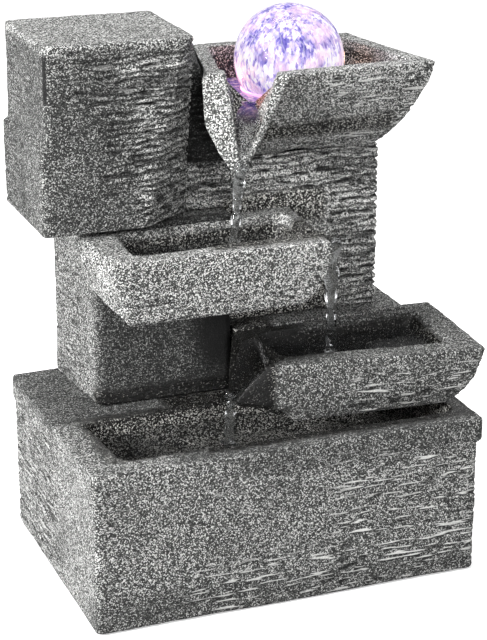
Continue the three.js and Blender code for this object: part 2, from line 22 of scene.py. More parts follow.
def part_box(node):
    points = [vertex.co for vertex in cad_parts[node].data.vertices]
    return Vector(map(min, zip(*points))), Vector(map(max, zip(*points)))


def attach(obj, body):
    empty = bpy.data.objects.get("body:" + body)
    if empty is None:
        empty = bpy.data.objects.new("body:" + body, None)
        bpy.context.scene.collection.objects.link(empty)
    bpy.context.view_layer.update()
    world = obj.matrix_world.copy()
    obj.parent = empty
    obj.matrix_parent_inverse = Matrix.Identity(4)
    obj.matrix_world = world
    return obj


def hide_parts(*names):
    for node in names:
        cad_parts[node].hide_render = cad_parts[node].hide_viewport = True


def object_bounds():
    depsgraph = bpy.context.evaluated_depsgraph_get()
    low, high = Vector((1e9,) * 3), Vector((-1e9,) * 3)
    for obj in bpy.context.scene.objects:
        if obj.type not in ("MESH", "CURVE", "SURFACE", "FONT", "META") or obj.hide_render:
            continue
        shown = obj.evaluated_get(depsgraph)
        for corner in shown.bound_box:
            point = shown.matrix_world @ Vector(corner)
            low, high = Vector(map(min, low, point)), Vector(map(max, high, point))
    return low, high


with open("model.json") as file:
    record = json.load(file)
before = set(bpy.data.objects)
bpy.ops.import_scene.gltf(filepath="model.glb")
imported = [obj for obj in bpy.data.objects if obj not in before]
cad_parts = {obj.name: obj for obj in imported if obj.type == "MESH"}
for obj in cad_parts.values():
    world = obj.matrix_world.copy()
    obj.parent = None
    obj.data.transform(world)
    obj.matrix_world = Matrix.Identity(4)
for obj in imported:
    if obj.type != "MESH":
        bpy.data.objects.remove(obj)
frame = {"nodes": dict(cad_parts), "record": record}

CAD_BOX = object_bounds()
TABLE = Vector(CAD_BOX[0]).z
LOG = logging.getLogger("fountain")
Point = tuple[float, float, float]
Colour = tuple[float, float, float]

MM = 0.001
UNIFORM = (1.0, 1.0, 1.0)
BASIN_LEFT = -106.0  # the basin's left face, from the basin's own middle
SHIFT_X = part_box("basin_casting")[0].x / MM - BASIN_LEFT


MIX_FACTOR, MIX_FIRST, MIX_SECOND, MIX_RESULT = 0, 6, 7, 2  # a Mix node's sockets when it mixes colours


# ---------------- places


def place(x: float, y: float, z: float) -> Vector:
    """Turns a place in the basin's millimetres into metres in the model's frame.

    Args:
        x: millimetres to the right of the basin's middle.
        y: millimetres towards the back.
        z: millimetres above the table.

    Returns:
        The same place in metres.
    """
    return Vector(((x + SHIFT_X) * MM, y * MM, z * MM))


def measure(points: np.ndarray) -> np.ndarray:
    """Turns an array of places in metres into the basin's millimetres."""
    return points / MM - np.array([SHIFT_X, 0.0, 0.0])


def smoothstep(low: float, high: float, values: np.ndarray) -> np.ndarray:
    """Rises softly from 0 to 1 as values go from low to high."""
    part = np.clip((values - low) / (high - low), 0.0, 1.0)
    return part * part * (3.0 - 2.0 * part)


def soft_box(points: np.ndarray, low: Point, high: Point, soft: float) -> np.ndarray:
    """A mask that is 1 inside a box and fades to 0 outside it.

    Args:
        points: places, one row each.
        low: the box's lowest corner.
        high: the box's highest corner.
        soft: the width of the fade.

    Returns:
        One number for each place.
    """
    mask = np.ones(len(points))
    for axis in range(3):
        mask *= smoothstep(low[axis] - soft, low[axis], points[:, axis])
        mask *= 1.0 - smoothstep(high[axis], high[axis] + soft, points[:, axis])
    return mask


def ball_place() -> tuple[Vector, float]:
    """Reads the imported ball's middle and its radius, in metres."""
    low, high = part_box("glass_ball")
    return (low + high) / 2, (high.z - low.z) / 2


def vectors(items: bpy.types.bpy_prop_collection, field: str) -> np.ndarray:
    """Reads one vector from each item of a mesh, one row each."""
    flat = np.empty(len(items) * 3, np.float32)
    items.foreach_get(field, flat)
    return flat.reshape(-1, 3).astype(float)


def put_points(mesh: bpy.types.Mesh, points: np.ndarray) -> None:
    """Moves a mesh's points to new places, one row each."""
    mesh.vertices.foreach_set("co", points.astype(np.float32).ravel())
    mesh.update()


class Grain:
    """Smooth, repeatable noise over space, read from a lattice of seeded random numbers."""

    CELLS = 64

    def __init__(self, seed: int) -> None:
        """Fills the lattice from its seed."""
        self.lattice = np.random.default_rng(seed).uniform(-1.0, 1.0, (self.CELLS,) * 3)

    def at(self, points: np.ndarray, cell: Sequence[float]) -> np.ndarray:
        """Reads the noise.

        Args:
            points: places, one row each.
            cell: the size of a lattice cell along each axis.

        Returns:
            One number from -1 to 1 for each place.
        """
        scaled = points / np.asarray(cell, float)
        base = np.floor(scaled)
        part = scaled - base
        part = part * part * (3.0 - 2.0 * part)
        base = base.astype(int)
        total = np.zeros(len(points))
        for corner in np.ndindex(2, 2, 2):
            weight = np.prod(np.where(corner, part, 1.0 - part), axis=1)
            i, j, k = ((base + corner) % self.CELLS).T
            total += weight * self.lattice[i, j, k]
        return total


# ---------------- shader graphs


class Value:
    """A number that runs between shader nodes; arithmetic on it adds Math nodes."""

    def __init__(self, graph: "Graph", socket: bpy.types.NodeSocket) -> None:
        """Wraps one output socket."""
        self.graph = graph
        self.socket = socket

    def _math(self, operation: str, *operands: "Value | float") -> "Value":
        """Adds one Math node and returns its result."""
        made = self.graph.node("ShaderNodeMath", {"operation": operation}, dict(enumerate(operands)))
        return Value(self.graph, made.outputs[0])

    def __add__(self, other: "Value | float") -> "Value":
        """Adds."""
        return self._math("ADD", self, other)

    __radd__ = __add__

    def __sub__(self, other: "Value | float") -> "Value":
        """Subtracts."""
        return self._math("SUBTRACT", self, other)

    def __rsub__(self, other: "Value | float") -> "Value":
        """Subtracts from a plain number."""
        return self._math("SUBTRACT", other, self)

    def __mul__(self, other: "Value | float") -> "Value":
        """Multiplies."""
        return self._math("MULTIPLY", self, other)

    __rmul__ = __mul__

    def stepped(self, low: float, high: float) -> "Value":
        """Rises softly from 0 to 1 between two values."""
        made = self.graph.node(
            "ShaderNodeMapRange", {"interpolation_type": "SMOOTHSTEP"},
            {"Value": self, "From Min": low, "From Max": high},
        )
        return Value(self.graph, made.outputs["Result"])


class Graph:
    """A material's node tree, with short ways to add what the finishes need."""

    def __init__(self, name: str) -> None:
        """Starts a material with one Principled shader."""
        self.material = bpy.data.materials.new(name)
        self.material.use_nodes = True
        self.tree = self.material.node_tree
        self.shader = self.tree.nodes["Principled BSDF"]
        self._object_place: Value | None = None

    def node(self, kind: str, settings: dict, inputs: dict) -> bpy.types.Node:
        """Adds a node: its settings first, then the values or links of its sockets.

        Args:
            kind: the node's type.
            settings: the node's own properties, with a ramp's colours under "stops".
            inputs: socket names or numbers, with a Value, socket, number or tuple for each.

        Returns:
            The new node.
        """
        made = self.tree.nodes.new(kind)
        stops = settings.get("stops")
        for key, setting in settings.items():
            if key != "stops":
                setattr(made, key, setting)
        if stops:
            elements = made.color_ramp.elements
            while len(elements) < len(stops):
                elements.new(0.5)
            for element, (position, colour) in zip(elements, stops):
                element.position = position
                element.color = (*colour, 1.0)
        for key, source in inputs.items():
            self.feed(made.inputs[key], source)
        return made

    def feed(self, socket: bpy.types.NodeSocket, source: object) -> None:
        """Links or sets one input socket."""
        if isinstance(source, Value):
            self.tree.links.new(source.socket, socket)
        elif isinstance(source, bpy.types.NodeSocket):
            self.tree.links.new(source, socket)
        elif isinstance(source, tuple) and socket.type == "RGBA":
            socket.default_value = (*source, 1.0)
        else:
            socket.default_value = source

    def principled(self, **sockets: object) -> None:
        """Sets or links the shader's sockets, named with underscores for spaces."""
        for key, source in sockets.items():
            self.feed(self.shader.inputs[key.replace("_", " ")], source)

    def place(self) -> bpy.types.NodeSocket:
        """The point being shaded, in metres in the model's frame."""
        if self._object_place is None:
            made = self.node("ShaderNodeTexCoord", {}, {})
            self._object_place = Value(self, made.outputs["Object"])
        return self._object_place.socket

    def stretched(self, centre: Vector, scale: Point) -> bpy.types.NodeSocket:
        """The point being shaded, measured from a centre and stretched."""
        kind = "ShaderNodeVectorMath"
        moved = self.node(kind, {"operation": "SUBTRACT"}, {0: self.place(), 1: centre})
        grown = self.node(kind, {"operation": "MULTIPLY"}, {0: moved.outputs[0], 1: Vector(scale)})
        return grown.outputs[0]

    def noise(self, size: float, detail: float = 2.0, at: bpy.types.NodeSocket | None = None) -> Value:
        """Cloudy noise whose features are about size millimetres across."""
        made = self.node("ShaderNodeTexNoise", {}, {
            "Vector": at or self.place(), "Scale": 1.0 / (size * MM), "Detail": detail,
        })
        return Value(self, made.outputs[0])

    def cells(self, size: float, at: bpy.types.NodeSocket | None = None) -> tuple[Value, Value]:
        """Crystal-like cells: a random number for each cell, and the distance from its middle."""
        made = self.node("ShaderNodeTexVoronoi", {}, {
            "Vector": at or self.place(), "Scale": 1.0 / (size * MM),
        })
        parts = self.node("ShaderNodeSeparateColor", {}, {0: made.outputs["Color"]})
        return Value(self, parts.outputs[0]), Value(self, made.outputs["Distance"])

    def seams(self, size: float, at: bpy.types.NodeSocket | None = None) -> Value:
        """The distance from the seams between cells of about size millimetres."""
        made = self.node("ShaderNodeTexVoronoi", {"feature": "DISTANCE_TO_EDGE"}, {
            "Vector": at or self.place(), "Scale": 1.0 / (size * MM),
        })
        return Value(self, made.outputs["Distance"])

    def mask(self, name: str) -> Value:
        """A number painted on the mesh."""
        made = self.node("ShaderNodeAttribute", {"attribute_name": name}, {})
        return Value(self, made.outputs["Fac"])

    def ramp(self, factor: Value, stops: Sequence[tuple[float, Colour]]) -> bpy.types.NodeSocket:
        """Turns a number into a colour."""
        return self.node("ShaderNodeValToRGB", {"stops": stops}, {"Fac": factor}).outputs["Color"]

    def mix(self, factor: Value | float, first: object, second: object,
            blend: str = "MIX") -> bpy.types.NodeSocket:
        """Mixes two colours.

        Args:
            factor: how much of the second colour.
            first: a colour or a colour socket.
            second: a colour or a colour socket.
            blend: the Mix node's blend type.

        Returns:
            The mixed colour's socket.
        """
        made = self.node("ShaderNodeMix", {"data_type": "RGBA", "blend_type": blend}, {
            MIX_FACTOR: factor, MIX_FIRST: first, MIX_SECOND: second,
        })
        return made.outputs[MIX_RESULT]

    def bump(self, height: Value, distance: float, strength: float) -> bpy.types.NodeSocket:
        """A Bump node's normal, for a height of distance millimetres."""
        made = self.node("ShaderNodeBump", {}, {
            "Height": height, "Distance": distance * MM, "Strength": strength,
        })
        return made.outputs["Normal"]


# ---------------- finishes


@dataclass(frozen=True)
class SpeckledStone:
    """Cast resin with black and white sand in its face, with dark grooves painted as shade and thin pale
    scores painted as highlights.
    """

    grain: float = 0.53
    dust: float = 0.38
    relief: float = 0.34
    plain: float = 0.66  # the painted tone at which the sand is as the ramp says
    groove_shape: Point = (0.075, 0.075, 0.40)  # one over a groove's length and height, in millimetres
    score_shape: Point = (0.070, 0.070, 0.66)

    def make(self) -> bpy.types.Material:
        """Builds the stone, darkened and glossy where the mesh is painted wet, with painted shade in the
        cuts and grooves and painted highlights on the lips and scores.
        """
        graph = Graph("speckled_stone")
        coarse, dome = graph.cells(self.grain)
        fine, crumb = graph.cells(self.dust)
        cloud = graph.noise(26.0, 3.0)
        wet = graph.mask("wet")
        # The painted tone is each casting's own tone with its painted shade and painted light; the proud
        # lips are painted lighter as a painted highlight.
        laid = graph.mask("tone")
        tone = coarse * 0.80 + fine * 0.20 + (cloud - 0.5) * 0.14 + graph.mask("lip") * 0.16
        tone = tone + (laid - self.plain) * 0.30
        sand = graph.ramp(tone, (
            (0.0, (0.012, 0.012, 0.012)),
            (0.36, (0.034, 0.035, 0.034)),
            (0.58, (0.12, 0.123, 0.118)),
            (0.70, (0.28, 0.285, 0.275)),
            (0.78, (0.86, 0.86, 0.84)),
            (1.0, (0.98, 0.98, 0.96)),
        ))
        # Painted shade: fine level grooves painted dark.
        groove = 1.0 - self.lines(graph, self.groove_shape, 0.0).stepped(0.36, 0.45)
        groove = groove * graph.mask("dark")
        # Painted highlights: thin pale scores where light would catch the strokes, each with a painted
        # shadow just under it.
        score_highlight = self.lines(graph, self.score_shape, 0.0).stepped(0.61, 0.67) * graph.mask("pale")
        under = self.lines(graph, self.score_shape, 0.8).stepped(0.60, 0.66) * graph.mask("pale")
        # Painted shade in the chisel cuts, the grooves and under the scores.
        shade = laid * (1.0 - graph.mask("carve") * 0.80) * (1.0 - groove * 0.88)
        shade = shade * (1.0 - under * 0.55)
        grey = graph.ramp(shade, tuple(
            (at, (part,) * 3) for at, part in ((0.0, 0.0), (0.15, 0.20), (self.plain, 0.66), (1.0, 0.86))
        ))
        shaded = graph.mix(1.0, sand, grey, "MULTIPLY")
        shaded = graph.mix(score_highlight * 0.8, shaded, (0.78, 0.78, 0.76))
        drenched = graph.ramp(tone, (
            (0.0, (0.003, 0.003, 0.003)),
            (0.64, (0.014, 0.0135, 0.012)),
            (0.78, (0.06, 0.058, 0.052)),
            (0.85, (0.62, 0.61, 0.57)),
            (1.0, (0.85, 0.84, 0.80)),
        ))
        soaked = graph.mix(wet, shaded, graph.mix(1.0, drenched, grey, "MULTIPLY"))
        height = (1.0 - dome) * 0.55 + (1.0 - crumb) * 0.3 + coarse * 0.6 - groove * 2.2 + score_highlight * 1.6
        graph.principled(
            Base_Color=soaked,
            Roughness=0.84 - wet * 0.66 + fine * 0.08,
            Normal=graph.bump(height, self.relief, 1.0),
            Specular_IOR_Level=0.4,
        )
        return graph.material

    @staticmethod
    def lines(graph: Graph, shape: Point, drop: float) -> Value:
        """Level streaks of noise.

        Args:
            graph: the material's graph.
            shape: how much the noise is stretched along each axis.
            drop: how far the streaks are moved down, in millimetres.

        Returns:
            The noise, about 0.5 on average.
        """
        return graph.noise(1.0, 1.0, graph.stretched(Vector((0.0, 0.0, -drop * MM)), shape))


@dataclass(frozen=True)
class Moulded:
    """Plastic or rubber from a mould, with fine spark texture and slight mottling."""

    name: str
    colour: Colour
    roughness: float
    texture: float = 0.35
    mottle: float = 0.25

    def make(self) -> bpy.types.Material:
        """Builds the moulded finish."""
        graph = Graph(self.name)
        cloud = graph.noise(7.0, 3.0)
        spark = graph.noise(self.texture, 2.0)
        dark = tuple(part * (1.0 - self.mottle) for part in self.colour)
        light = tuple(min(1.0, part * (1.0 + self.mottle)) for part in self.colour)
        graph.principled(
            Base_Color=graph.ramp(cloud, ((0.3, dark), (0.7, light))),
            Roughness=self.roughness + (spark - 0.5) * 0.2,
            Normal=graph.bump(spark, 0.06, 0.5),
        )
        return graph.material


@dataclass(frozen=True)
class Clear:
    """Clear moulded plastic or blown glass."""

    name: str
    colour: Colour
    roughness: float
    ior: float
    ripple: float = 6.0
    wobble: float = 0.1

    def make(self) -> bpy.types.Material:
        """Builds the clear finish with faint waves in its face."""
        graph = Graph(self.name)
        wave = graph.noise(self.ripple, 2.0)
        graph.principled(
            Base_Color=graph.mix(wave, self.colour, tuple(part * 0.94 for part in self.colour)),
            Roughness=self.roughness + wave * 0.02,
            IOR=self.ior,
            Transmission_Weight=1.0,
            Normal=graph.bump(wave, self.wobble, 0.25 + self.wobble * 0.5),
        )
        return graph.material


@dataclass(frozen=True)
class PoolWater:
    """Still, shallow water over dark stone: mostly a gloss that lets the stone show through.

    Close to the lit ball it shows the ball's violet and pink light.
    """

    lamp: Vector
    name: str = "pool_water"
    alpha: float = 0.12
    near: float = 32.0
    far: float = 62.0

    def make(self) -> bpy.types.Material:
        """Builds the water's face with small ripples."""
        graph = Graph(self.name)
        wave = graph.noise(7.0, 2.0)
        away = graph.node(
            "ShaderNodeVectorMath", {"operation": "LENGTH"}, {0: graph.stretched(self.lamp, UNIFORM)},
        )
        lit = 1.0 - Value(graph, away.outputs["Value"]).stepped(self.near * MM, self.far * MM)
        streak = graph.noise(3.0, 4.0)
        hue = graph.ramp(streak, (
            (0.36, (0.04, 0.03, 0.20)), (0.48, (0.22, 0.12, 0.46)), (0.58, (0.62, 0.32, 0.52)),
            (0.68, (0.95, 0.80, 0.92)),
        ))
        graph.principled(
            Base_Color=graph.ramp(wave, ((0.3, (0.010, 0.011, 0.012)), (0.8, (0.03, 0.032, 0.034)))),
            Emission_Color=graph.mix(lit, (0.0, 0.0, 0.0), hue),
            Emission_Strength=0.9,
            Roughness=0.02 + wave * 0.03,
            IOR=1.33,
            Alpha=self.alpha + wave * 0.1 + lit * 0.62,
            Specular_IOR_Level=0.9,
            Normal=graph.bump(wave, 0.8, 0.35),
        )
        return graph.material


@dataclass(frozen=True)
class Foam:
    """Open filter foam."""

    name: str = "filter_foam"

    def make(self) -> bpy.types.Material:
        """Builds the foam, with its open pores painted dark as painted shade in them."""
        graph = Graph(self.name)
        pore, dome = graph.cells(1.1)
        # Painted shade: the open pores are painted near black.
        open_pore = dome.stepped(0.15, 0.5)
        graph.principled(
            Base_Color=graph.mix(open_pore, (0.004, 0.004, 0.005), (0.05, 0.055, 0.06)),
            Roughness=0.9 + pore * 0.1,
            Normal=graph.bump(dome, 0.8, 0.9),
            Sheen_Weight=0.15,
        )
        return graph.material


@dataclass(frozen=True)
class CircuitLacquer:
    """Green solder lacquer with paler tracks."""

    name: str = "circuit_board"

    def make(self) -> bpy.types.Material:
        """Builds the lacquered board."""
        graph = Graph(self.name)
        track = graph.seams(2.2).stepped(0.02, 0.09)
        graph.principled(
            Base_Color=graph.mix(track, (0.03, 0.22, 0.09), (0.006, 0.075, 0.035)),
            Roughness=0.28 + track * 0.12,
            Normal=graph.bump(track, 0.05, 0.4),
        )
        return graph.material


@dataclass(frozen=True)
class CrackleLight:
    """The crackled layer inside the ball, lit from below in blue, violet and pink."""

    centre: Vector
    name: str = "lit_crackle"
    glow: float = 0.84

    def make(self) -> bpy.types.Material:
        """Builds the glowing crackle."""
        graph = Graph(self.name)
        tall = graph.stretched(self.centre, (1.0, 1.0, 0.45))
        shard, dome = graph.cells(2.6, tall)
        fleck, _ = graph.cells(1.2, graph.stretched(self.centre, (1.0, 1.0, 0.38)))
        streak = graph.noise(4.2, 5.0, tall)
        crack = 1.0 - graph.seams(5.0, tall).stepped(0.0, 0.10)
        zone = graph.noise(12.0, 3.0)
        aside = self.centre + Vector((0.04, 0.02, 0.01))
        warm = graph.noise(12.0, 2.0, graph.stretched(aside, UNIFORM))
        hue = graph.ramp(zone * 0.6 + streak * 0.4 + (fleck - 0.5) * 0.20 + (shard - 0.5) * 0.18, (
            (0.32, (0.06, 0.05, 0.38)),
            (0.40, (0.17, 0.14, 0.56)),
            (0.47, (0.42, 0.34, 0.72)),
            (0.54, (0.74, 0.64, 0.86)),
            (0.63, (1.0, 0.97, 1.0)),
        ))
        rosy = graph.mix(warm.stepped(0.46, 0.62) * 0.58, hue, (0.95, 0.66, 0.82))
        lit = graph.mix(crack * 0.30, rosy, (1.0, 0.96, 1.0))
        graph.principled(
            Base_Color=graph.mix(0.75, lit, (0.05, 0.04, 0.09)),
            Emission_Color=lit,
            Emission_Strength=self.glow,
            Roughness=0.18 + shard * 0.2,
            Normal=graph.bump(dome + crack * 0.6, 0.9, 0.8),
        )
        return graph.material


@dataclass(frozen=True)
class WaterlineGlow:
    """The bright bead of water round the ball, lit pink from below."""

    name: str = "waterline_glow"

    def make(self) -> bpy.types.Material:
        """Builds the glowing water bead."""
        graph = Graph(self.name)
        wave = graph.noise(5.0, 2.0)
        graph.principled(
            Base_Color=graph.mix(wave, (0.9, 0.55, 0.8), (0.75, 0.6, 0.95)),
            Emission_Color=graph.mix(wave, (1.0, 0.45, 0.72), (0.75, 0.6, 1.0)),
            Emission_Strength=0.85,
            Roughness=0.06 + wave * 0.05,
        )
        return graph.material


@dataclass(frozen=True)
class StudioPaper:
    """The plain pale floor."""

    name: str = "studio_paper"

    def make(self) -> bpy.types.Material:
        """Builds matt white paper that is lit evenly to the eye and throws little light back up."""
        graph = Graph(self.name)
        tooth = graph.noise(3.0, 2.0)
        graph.principled(
            Base_Color=graph.ramp(tooth, ((0.0, (0.93, 0.93, 0.93)), (1.0, (0.95, 0.95, 0.95)))),
            Roughness=0.9 + tooth * 0.05,
            Specular_IOR_Level=0.1,
            Emission_Color=(1.0, 1.0, 1.0),
            Emission_Strength=0.42,
        )
        dim = graph.node("ShaderNodeBsdfDiffuse", {}, {"Color": (0.42, 0.42, 0.42)})
        path = graph.node("ShaderNodeLightPath", {}, {})
        both = graph.node("ShaderNodeMixShader", {}, {
            0: path.outputs["Is Camera Ray"], 1: dim.outputs[0], 2: graph.shader.outputs[0],
        })
        graph.feed(graph.tree.nodes["Material Output"].inputs["Surface"], both.outputs[0])
        return graph.material


# ---------------- mesh work


def link(name: str, mesh: bpy.types.Mesh, material: bpy.types.Material) -> bpy.types.Object:
    """Puts a mesh in the scene under a name, smooth and with one material.

    Args:
        name: the piece's name.
        mesh: its mesh, in metres in the model's frame.
        material: its finish.

    Returns:
        The new object.
    """
    mesh.materials.clear()
    mesh.materials.append(material)
    mesh.polygons.foreach_set("use_smooth", np.ones(len(mesh.polygons), bool))
    made = bpy.data.objects.new(name, mesh)
    bpy.context.scene.collection.objects.link(made)
    return made


def from_rows(name: str, points: np.ndarray, faces: Sequence[Sequence[int]]) -> bpy.types.Mesh:
    """A mesh from rows of basin millimetres and lists of corner numbers."""
    mesh = bpy.data.meshes.new(name)
    mesh.from_pydata([place(*row) for row in points.tolist()], [], faces)
    mesh.validate()
    mesh.update()
    return mesh


def settled(source: bpy.types.Object, modifiers: Sequence[tuple[str, dict]]) -> bpy.types.Mesh:
    """Copies an object's mesh, runs modifiers on the copy and returns the result.

    Args:
        source: the object to copy; it isn't changed.
        modifiers: each modifier's type and settings.

    Returns:
        A new mesh.
    """
    copy = bpy.data.objects.new("working_copy", source.data.copy())
    bpy.context.scene.collection.objects.link(copy)
    for kind, settings in modifiers:
        modifier = copy.modifiers.new(kind, kind)
        for key, setting in settings.items():
            setattr(modifier, key, setting)
    graph = bpy.context.evaluated_depsgraph_get()
    mesh = bpy.data.meshes.new_from_object(copy.evaluated_get(graph))
    bpy.data.objects.remove(copy)
    return mesh


def swept(name: str, path: np.ndarray, widths: np.ndarray, sides: int = 16,
          lobes: float = 0.0, twist: float = 0.0, level: bool = False) -> bpy.types.Mesh:
    """A closed body swept along a path, with an oval section that may twist.

    Args:
        name: the mesh's name.
        path: the path's points, one row each.
        widths: the section's two half widths at each point.
        sides: corners round the section.
        lobes: how deep the section's two waists are, as a share of its width.
        twist: turns that the section makes along the path.
        level: whether the path stays level, so that the section is held upright.

    Returns:
        The mesh.
    """
    ahead = np.gradient(path, axis=0)
    ahead /= np.linalg.norm(ahead, axis=1, keepdims=True)
    hint = np.array([0.0, 0.0, 1.0]) if level else np.array([0.05, -1.0, 0.1])
    across = np.cross(ahead, hint)
    across /= np.linalg.norm(across, axis=1, keepdims=True)
    depth = np.cross(across, ahead)
    steps = np.linspace(0.0, 1.0, len(path))
    angle = np.linspace(0.0, 2.0 * math.pi, sides, endpoint=False)
    rows = []
    for i, step in enumerate(steps):
        reach = 1.0 - lobes * np.cos(angle) ** 2 * math.sin(math.pi * step)
        flat = np.stack([widths[i, 0] * np.cos(angle) * reach, widths[i, 1] * np.sin(angle)], axis=1)
        turn = 2.0 * math.pi * twist * step
        spin = np.array([[math.cos(turn), -math.sin(turn)], [math.sin(turn), math.cos(turn)]])
        flat = flat @ spin.T
        rows.append(path[i] + flat[:, :1] * across[i] + flat[:, 1:] * depth[i])
    last = (len(path) - 1) * sides
    faces = [list(range(sides))[::-1], [last + k for k in range(sides)]]
    for i in range(len(path) - 1):
        for k in range(sides):
            near, far = i * sides + k, i * sides + (k + 1) % sides
            faces.append([near, far, far + sides, near + sides])
    mesh = from_rows(name, np.concatenate(rows), faces)
    body = bmesh.new()
    body.from_mesh(mesh)
    bmesh.ops.recalc_face_normals(body, faces=body.faces)
    body.to_mesh(mesh)
    body.free()
    return mesh


def smooth_path(points: Sequence[Point], steps: int) -> np.ndarray:
    """An even curve through a few points (a centripetal-like Catmull-Rom curve).

    Args:
        points: the points that the curve passes.
        steps: how many points to return.

    Returns:
        The curve's points, one row each.
    """
    knots = np.array(points, float)
    padded = np.vstack([2 * knots[0] - knots[1], knots, 2 * knots[-1] - knots[-2]])
    rows = []
    for t in np.linspace(0.0, len(knots) - 1.0 - 1e-6, steps):
        i = int(t)
        a, b, c, d = padded[i:i + 4]
        u = t - i
        rows.append(0.5 * (2 * b + (c - a) * u + (2 * a - 5 * b + 4 * c - d) * u ** 2
                           + (3 * b - a - 3 * c + d) * u ** 3))
    return np.array(rows)


def paint(mesh: bpy.types.Mesh, name: str, values: np.ndarray) -> None:
    """Stores one number for each of a mesh's points, for the finish to read."""
    layer = mesh.attributes.new(name, "FLOAT", "POINT")
    layer.data.foreach_set("value", values.astype(np.float32))


# ---------------- stone castings


class Side(Enum):
    """A face of a casting, by the way that it looks."""

    LEFT = (-1.0, 0.0, 0.0)
    RIGHT = (1.0, 0.0, 0.0)
    FRONT = (0.0, -1.0, 0.0)
    BACK = (0.0, 1.0, 0.0)


@dataclass(frozen=True)
class Chisel:
    """A patch of chisel strokes on one face: a box of space, and the strokes' size in millimetres."""

    LIP_PHASE: ClassVar[float] = 0.42  # where the proud lip lies, as a share of the pitch

    side: Side
    low: Point
    high: Point
    depth: float = 1.0
    pitch: float = 3.4  # from one stroke to the next
    stroke: float = 16.0  # a stroke's length
    slope: float = 0.0
    cover: float = 0.1  # how much of the face is left plain: the lower, the more strokes
    soft: float = 9.0  # the width of the patch's faded edge
    dark: float = 0.0  # how plainly fine grooves are painted dark: painted shade in them
    pale: float = 0.0  # how plainly fine pale scores show: painted highlights, each with a painted shadow under it

    def patch(self, points: np.ndarray, normals: np.ndarray) -> np.ndarray:
        """Says where the patch lies, from 0 to 1, on the faces that look its way."""
        facing = smoothstep(0.35, 0.75, normals @ np.array(self.side.value))
        return soft_box(points, self.low, self.high, self.soft) * facing

    def cut(self, points: np.ndarray, normals: np.ndarray,
            grain: Grain) -> tuple[np.ndarray, np.ndarray]:
        """Works out the strokes.

        Args:
            points: places on the casting, in millimetres.
            normals: the surface's directions there.
            grain: the noise that breaks the strokes up.

        Returns:
            How deep the cut is, from 0 to 1, and how far the proud lip beside it stands, from 0 to 1.
        """
        mask = self.patch(points, normals)
        along = points[:, 1] if self.side in (Side.LEFT, Side.RIGHT) else points[:, 0]
        height = points[:, 2] + self.slope * along
        laid = np.stack([along, np.full(len(points), 7.3 * self.depth), height], axis=1)
        wander = grain.at(laid, (self.stroke * 1.5, 30.0, 6.0)) * 0.55
        wander += grain.at(laid, (6.0, 30.0, 4.0)) * 0.2
        turns = height / self.pitch + wander * 1.4
        course = 0.5 + 0.5 * np.cos(2.0 * math.pi * turns)
        beside = 0.5 + 0.5 * np.cos(2.0 * math.pi * (turns + self.LIP_PHASE))
        broken = grain.at(laid, (self.stroke * 0.5, 30.0, self.pitch * 0.5))
        worn = smoothstep(0.2, 0.7, mask + 0.4 * grain.at(points, (14.0, 14.0, 8.0)) * (mask > 0.02))
        present = smoothstep(self.cover - 0.2, self.cover + 0.25, broken) * worn
        cut = smoothstep(0.40, 0.85, course) * present
        lip = smoothstep(0.82, 1.0, beside) * smoothstep(self.cover, self.cover + 0.3, broken) * worn
        return cut, lip


@dataclass(frozen=True)
class WetZone:
    """A box of space in which the stone is wet."""

    low: Point
    high: Point
    soft: float = 4.0


@dataclass(frozen=True)
class ToneAndShadeZone:
    """A box of space, or the egg that fills it, in which the sand is painted darker or lighter: mostly
    painted shade and painted light, for faces, hollows and stone under the bowls that take more or less
    light.
    """

    low: Point
    high: Point
    tone: float
    soft: float = 6.0
    oval: bool = False

    def mask(self, points: np.ndarray) -> np.ndarray:
        """Says how far each place lies in the zone, from 0 to 1."""
        if not self.oval:
            return soft_box(points, self.low, self.high, self.soft)
        low, high = np.array(self.low), np.array(self.high)
        away = np.linalg.norm((points - (low + high) / 2) / ((high - low) / 2), axis=1)
        return 1.0 - smoothstep(0.35, 1.0, away)


